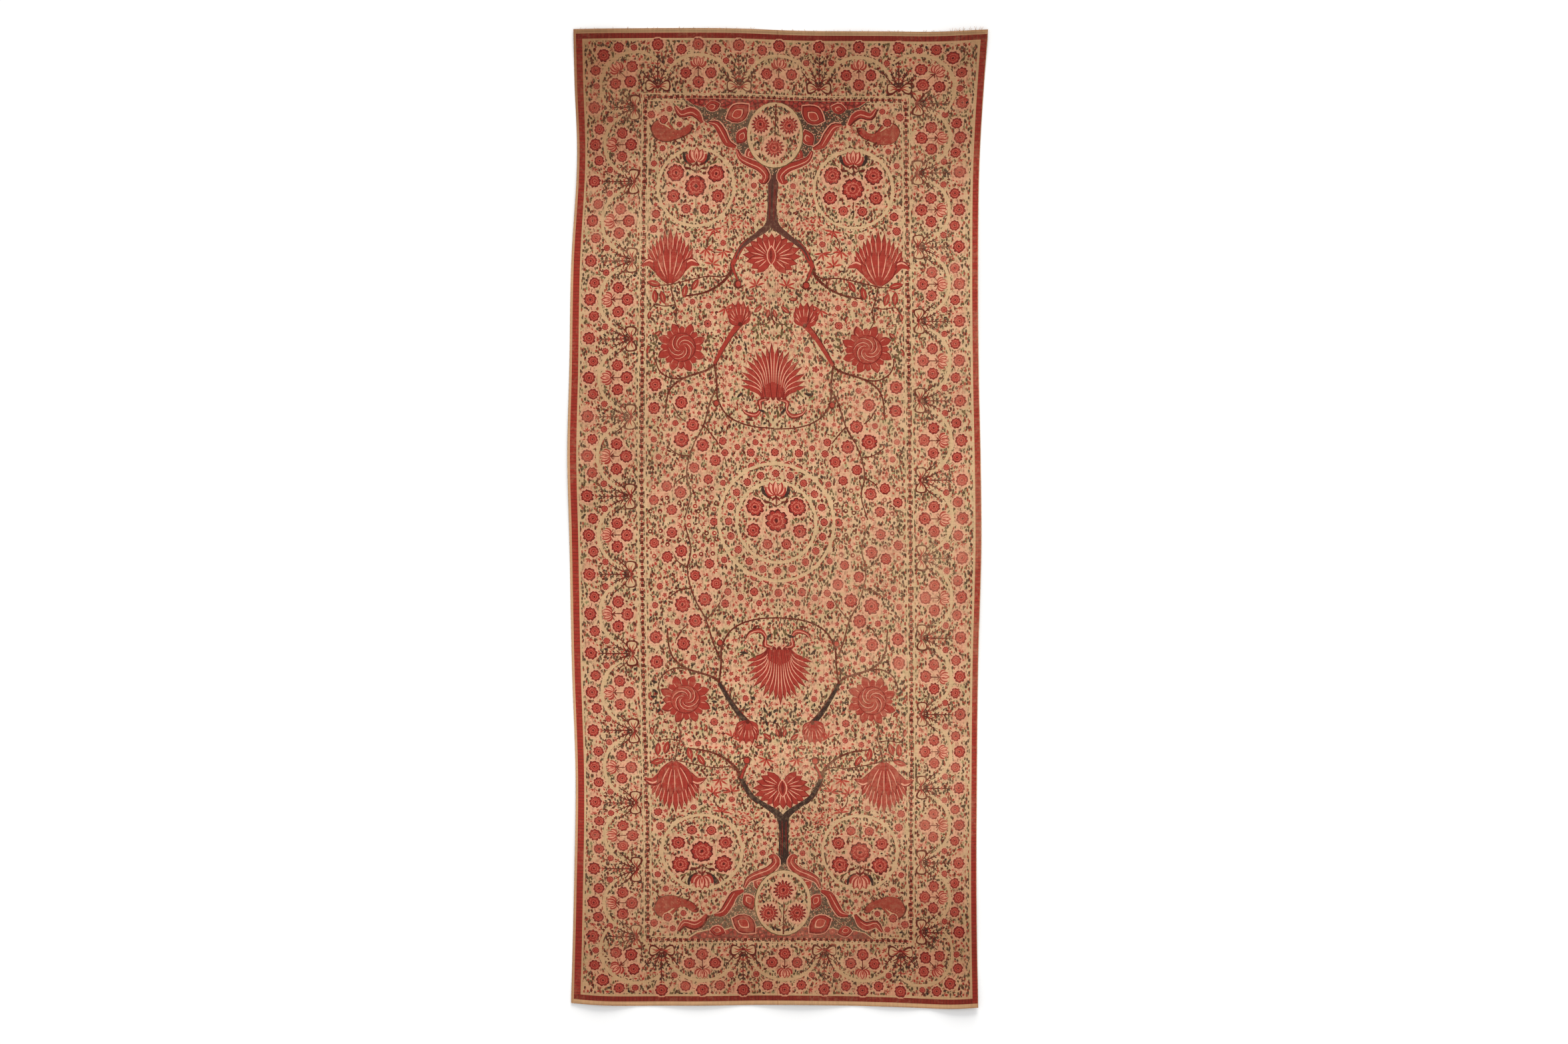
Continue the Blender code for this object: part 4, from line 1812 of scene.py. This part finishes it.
# %% Group: the printed flower
def thin_line(tree, radius, at, edge):
    """A light line all round at one radius, solid for 0.02 each way and gone at its edge."""
    away = calc(tree, "ABSOLUTE", calc(tree, "SUBTRACT", radius, at))
    return ramp(tree, away, 0.02, edge, 0.8, 0.0)


def make_flower():
    """In all of it, a radius of 1 is the tip of a petal."""
    tree, given, out = group(
        "Printed flower",
        (("Place", "vector"), ("Petals", "value"), ("Depth", "value"), ("Sharp", "value")),
        (("Red", "value"), ("Dark", "value"), ("Light", "value"), ("Halo", "value")),
    )
    u, v, _ = split(tree, given["Place"])
    wobble = calc(tree, "SUBTRACT", noise(tree, place(tree), 170, 1.0), 0.5)
    radius = calc(tree, "SQRT", total(tree, product(tree, u, u), product(tree, v, v)))
    radius = calc(tree, "MULTIPLY_ADD", wobble, 0.36, radius)
    turns = product(tree, product(tree, calc(tree, "ARCTAN2", v, u), given["Petals"]), 0.5)
    lobe = calc(tree, "ABSOLUTE", calc(tree, "COSINE", turns))  # 1 in a petal, 0 between two
    lobe = calc(tree, "POWER", lobe, given["Sharp"])
    edge = calc(tree, "MULTIPLY_ADD", calc(tree, "SUBTRACT", lobe, 1.0), given["Depth"], 1.0)
    inside = calc(tree, "SUBTRACT", edge, radius)
    join(tree, ramp(tree, inside, -0.03, 0.03), out["Red"])
    not_deep = ramp(tree, inside, 0.11, 0.18, 1.0, 0.0)
    rim = product(tree, ramp(tree, inside, -0.03, 0.02), not_deep)
    eye = ramp(tree, radius, 0.11, 0.15, 1.0, 0.0)
    join(tree, calc(tree, "MAXIMUM", rim, eye), out["Dark"])
    ring_line = thin_line(tree, radius, calc(tree, "MULTIPLY_ADD", lobe, 0.07, 0.50), 0.055)
    inner_line = thin_line(tree, radius, 0.24, 0.05)
    valley = ramp(tree, lobe, 0.10, 0.30, 1.0, 0.0)
    between = product(tree, valley, ramp(tree, radius, 0.52, 0.60))
    lines = calc(tree, "MAXIMUM", calc(tree, "MAXIMUM", ring_line, inner_line), between)
    join(tree, product(tree, lines, ramp(tree, inside, 0.10, 0.14)), out["Light"])
    join(tree, ramp(tree, inside, -0.24, -0.04), out["Halo"])
    return tree


FLOWER = make_flower()
print("made", FLOWER.name)

# %% [markdown]
# ## The dyes
# Every material is built the same way: ground, dye on it as far as wear and painted light leave it,
# thread shade, dirt and painted shade, and a Principled shader that is rough, with a faint sheen of
# cotton fibre and a bump from the threads.
# The plain dyes need only a colour and a cover. Eight inks have a function that draws their pattern,
# and gives back the ground, the cover and the colour.

# %% Make the materials
STRONG = 1.12  # a cover above 1 hides the ground even where a little of the dye is lost
DYES = {
    # colour, and how much of the ground it covers
    "cotton": (dye(206, 166, 122), 0.0),
    "blush": (dye(226, 154, 126), 0.95),
    "pale": (dye(208, 171, 129), 0.9),
    "margin": (dye(206, 162, 122), 1.0),
    "madder": (dye(160, 54, 42), STRONG),
    "bright madder": (dye(170, 60, 46), STRONG),
    "deep madder": (dye(120, 34, 26), STRONG),
    "outline": (dye(100, 34, 22), STRONG),
    "iron black": (dye(60, 40, 32), STRONG),
    "brown": (dye(92, 52, 42), STRONG),
    "olive": (dye(100, 78, 44), 1.1),
    "sage": (dye(140, 130, 86), 1.0),
    "back": (dye(184, 104, 80), 0.35),
}
RED, DARK, LIGHT = dye(160, 50, 40), dye(92, 26, 20), dye(214, 122, 98)


def flower_dye(tree, uv, ground, petals, depth, sharp):
    flower = use(tree, FLOWER, Place=uv, Petals=float(petals), Depth=depth, Sharp=sharp)
    colour = blend(tree, flower["Dark"], RED, DARK)
    colour = blend(tree, flower["Light"], colour, LIGHT)
    around = blend(tree, product(tree, flower["Halo"], 0.6), ground, ROSY)
    return around, product(tree, flower["Red"], STRONG), colour


def ticked_stripe(tree, uv, ground, body, tick):
    """A stripe with a darker tick across it every 0.9 of TICK_UNIT."""
    near_tick = calc(tree, "PINGPONG", split(tree, uv)[0], 0.45)
    ticks = ramp(tree, near_tick, 0.05, 0.13, 0.6, 0.0)
    return ground, STRONG, blend(tree, ticks, body, tick)


def dotted(tree, where, colour, count, low, high, dot, cover=1.0):
    """Dots over a colour, about this many in a metre: grains in a rock, or spots on a coat."""
    return blend(tree, ramp(tree, cells(tree, where, count), low, high, cover, 0.0), colour, dot)


def spotted_coat(tree, uv, ground):
    colour = dotted(tree, uv, dye(156, 44, 34), 130, 0.12, 0.20, dye(210, 116, 90))
    return ground, 1.0, colour


def stippled_rock(tree, uv, ground):
    """Pale grains in grey, with fewer and larger red ones over them."""
    colour = dotted(tree, uv, dye(80, 60, 46), 210, 0.28, 0.42, dye(196, 148, 114))
    colour = dotted(tree, uv, colour, 210 * 0.61, 0.196, 0.294, dye(150, 50, 40), 0.9)
    return ground, 1.0, colour


def scales(tree, uv, ground):
    """Red scales with dark edges and pink middles."""
    edges = ramp(tree, cells(tree, uv, 75, "DISTANCE_TO_EDGE"), 0.06, 0.16, 0.9, 0.0)
    colour = blend(tree, edges, dye(160, 50, 42), dye(98, 30, 26))
    colour = dotted(tree, uv, colour, 75, 0.14, 0.26, dye(216, 122, 100), 0.8)
    return ground, 1.0, colour


PATTERNS = {
    # what draws each patterned ink, and with which values
    "rosette": (flower_dye, 9, 0.16, 0.8),
    "spiked rosette": (flower_dye, 15, 0.34, 1.3),
    "daisy": (flower_dye, 5, 0.45, 0.7),
    "side stripe": (ticked_stripe, dye(160, 50, 38), dye(100, 36, 26)),
    "end stripe": (ticked_stripe, dye(140, 46, 34), dye(100, 34, 26)),
    "stippled rock": (stippled_rock,),
    "spotted": (spotted_coat,),
    "scales": (scales,),
}


def make_material(ink):
    material = bpy.data.materials.new(ink.replace(" ", "_"))
    material.use_nodes = True
    tree = material.node_tree
    specks = 1.0 if ink == "cotton" else 0.0
    ground = use(tree, GROUND, Rosy=attribute(tree, "near red"), Specks=specks)["Color"]
    if ink in PATTERNS:
        uv = tree.nodes.new("ShaderNodeUVMap")
        uv.uv_map = "print"
        draw, *values = PATTERNS[ink]
        ground, cover, colour = draw(tree, uv.outputs[0], ground, *values)
    else:
        colour, cover = DYES[ink]
    # wear lifts the dye, and painted light lightens it towards the middle of the right side
    dye_shown = use(tree, WORN_DYE_AND_PAINTED_LIGHT, Cover=cover, Load=attribute(tree, "load"))["Cover"]
    weave = use(tree, WEAVE)
    shaded = tree.nodes.new("ShaderNodeVectorMath")
    shaded.operation = "SCALE"
    join(tree, blend(tree, dye_shown, ground, colour), shaded.inputs[0])
    join(tree, weave["Shade"], shaded.inputs["Scale"])
    bump = tree.nodes.new("ShaderNodeBump")
    bump.inputs["Strength"].default_value = 0.25
    bump.inputs["Distance"].default_value = 0.3 * MM
    join(tree, weave["Height"], bump.inputs["Height"])
    shader = tree.nodes["Principled BSDF"]
    # dirt and painted shade darken the dyed colour
    join(tree, use(tree, SOIL_AND_PAINTED_SHADE, Color=shaded.outputs[0])["Color"], shader.inputs["Base Color"])
    join(tree, bump.outputs[0], shader.inputs["Normal"])
    shader.inputs["Roughness"].default_value = 0.95
    shader.inputs["Specular IOR Level"].default_value = 0.15
    shader.inputs["Sheen Weight"].default_value = 0.08
    return material


for ink in INKS:
    cloth.data.materials.append(make_material(ink))
print(len(cloth.data.materials), "dyes on the cloth")

# %% [markdown]
# ## Loose threads
# The head was cut and only roughly hemmed, so some warp threads have slipped out. A third of them are
# close to one corner. Each is a thin three-sided strand that starts on the cloth and ends just past
# its edge.

# %% Loose threads at the head
STRANDS, STRAND_RADIUS = 84, 0.35 * MM


def add_strand(bm, points):
    """A thread along some points, closed at both ends."""
    rings = []
    for point in points:
        corners = [(math.cos(turn), 0.0, math.sin(turn)) for turn in (0.5, 2.6, 4.7)]
        rings.append([bm.verts.new(point + np.array(corner) * STRAND_RADIUS) for corner in corners])
    for one, other in zip(rings[:-1], rings[1:]):
        for k in range(3):
            bm.faces.new((one[k], other[k], other[(k + 1) % 3], one[(k + 1) % 3]))
    bm.faces.new(rings[0])
    bm.faces.new(rings[-1][::-1])


def loose_threads():
    kit = random.Random(3)
    bm = bmesh.new()
    for k in range(STRANDS):
        across = kit.uniform(0.45, 0.55) if k % 3 == 0 else kit.uniform(-0.53, 0.54)
        length = kit.uniform(6, 15 if k % 3 == 0 else 9) * MM
        drift, drop = kit.uniform(-5, 5) * MM, kit.uniform(0.2, 0.8)
        points = []
        for t in (0.0, 0.35, 0.7, 1.0):
            x = across + drift * t * t
            y = read("head", x) - 4 * MM + length * t
            top = lie(np.array([(x, min(y, read("head", x)))]))[0] + THICK + HEM_RISE
            points.append(np.array((x + OFFSET[0], y + OFFSET[1], top * (1 - drop * t * t))))
        add_strand(bm, points)
    bmesh.ops.recalc_face_normals(bm, faces=bm.faces)
    mesh = bpy.data.meshes.new("loose threads")
    bm.to_mesh(mesh)
    bm.free()
    mesh.shade_smooth()
    mesh.materials.append(bpy.data.materials["margin"])
    return add_object("loose_threads", mesh)


threads = loose_threads()
print(STRANDS, "loose threads")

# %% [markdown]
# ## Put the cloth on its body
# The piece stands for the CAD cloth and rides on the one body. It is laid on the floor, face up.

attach(cloth, "root")
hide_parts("cloth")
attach(threads, "root")

# %% [markdown]
# ## The floor, the light and the camera
# A white floor and a soft white sky give the even light in which textiles are recorded. A low, wide
# lamp beyond the head adds a faint shadow below the foot. The camera looks straight down from above.

# %% The stage
LAMP_SHINES = Vector((-0.10, -1.0, -0.30))  # towards the foot, and a little down
CAMERA_OVER = (0.0168, -0.0053)  # the camera stands over this place in the cloth's own numbers
LENS, SENSOR = 85.0, 36.0  # mm
SEEN = 4.154  # the width of the view in metres


def make_floor():
    bm = bmesh.new()
    bmesh.ops.create_grid(bm, x_segments=1, y_segments=1, size=8.0)
    mesh = bpy.data.meshes.new("floor")
    bm.to_mesh(mesh)
    bm.free()
    material = bpy.data.materials.new("white_floor")
    material.use_nodes = True
    shader = material.node_tree.nodes["Principled BSDF"]
    shader.inputs["Base Color"].default_value = (0.95, 0.95, 0.95, 1.0)
    shader.inputs["Roughness"].default_value = 0.9
    shader.inputs["Specular IOR Level"].default_value = 0.0
    mesh.materials.append(material)
    add_object("floor", mesh)


def make_lights():
    world = bpy.data.worlds.new("studio")
    world.use_nodes = True
    sky = world.node_tree.nodes["Background"]
    sky.inputs["Color"].default_value = (1.0, 1.0, 1.0, 1.0)
    sky.inputs["Strength"].default_value = 0.77
    bpy.context.scene.world = world
    lamp = bpy.data.lights.new("low lamp", "SUN")
    lamp.energy = 3.5
    lamp.angle = math.radians(28)
    lamp.color = (1.0, 0.985, 0.96)
    holder = add_object("low lamp", lamp)
    holder.rotation_euler = LAMP_SHINES.to_track_quat("-Z", "Y").to_euler()


def make_camera():
    data = bpy.data.cameras.new("camera")
    data.lens, data.sensor_width = LENS, SENSOR
    data.clip_end = 50.0
    camera = add_object("camera", data)
    x, y = CAMERA_OVER
    camera.location = (x + OFFSET[0], y + OFFSET[1], SEEN * LENS / SENSOR)
    bpy.context.scene.camera = camera


make_floor()
make_lights()
make_camera()
bpy.context.scene.view_settings.view_transform = "Standard"
print("the camera is", round(bpy.context.scene.camera.location.z, 2), "m above the cloth")
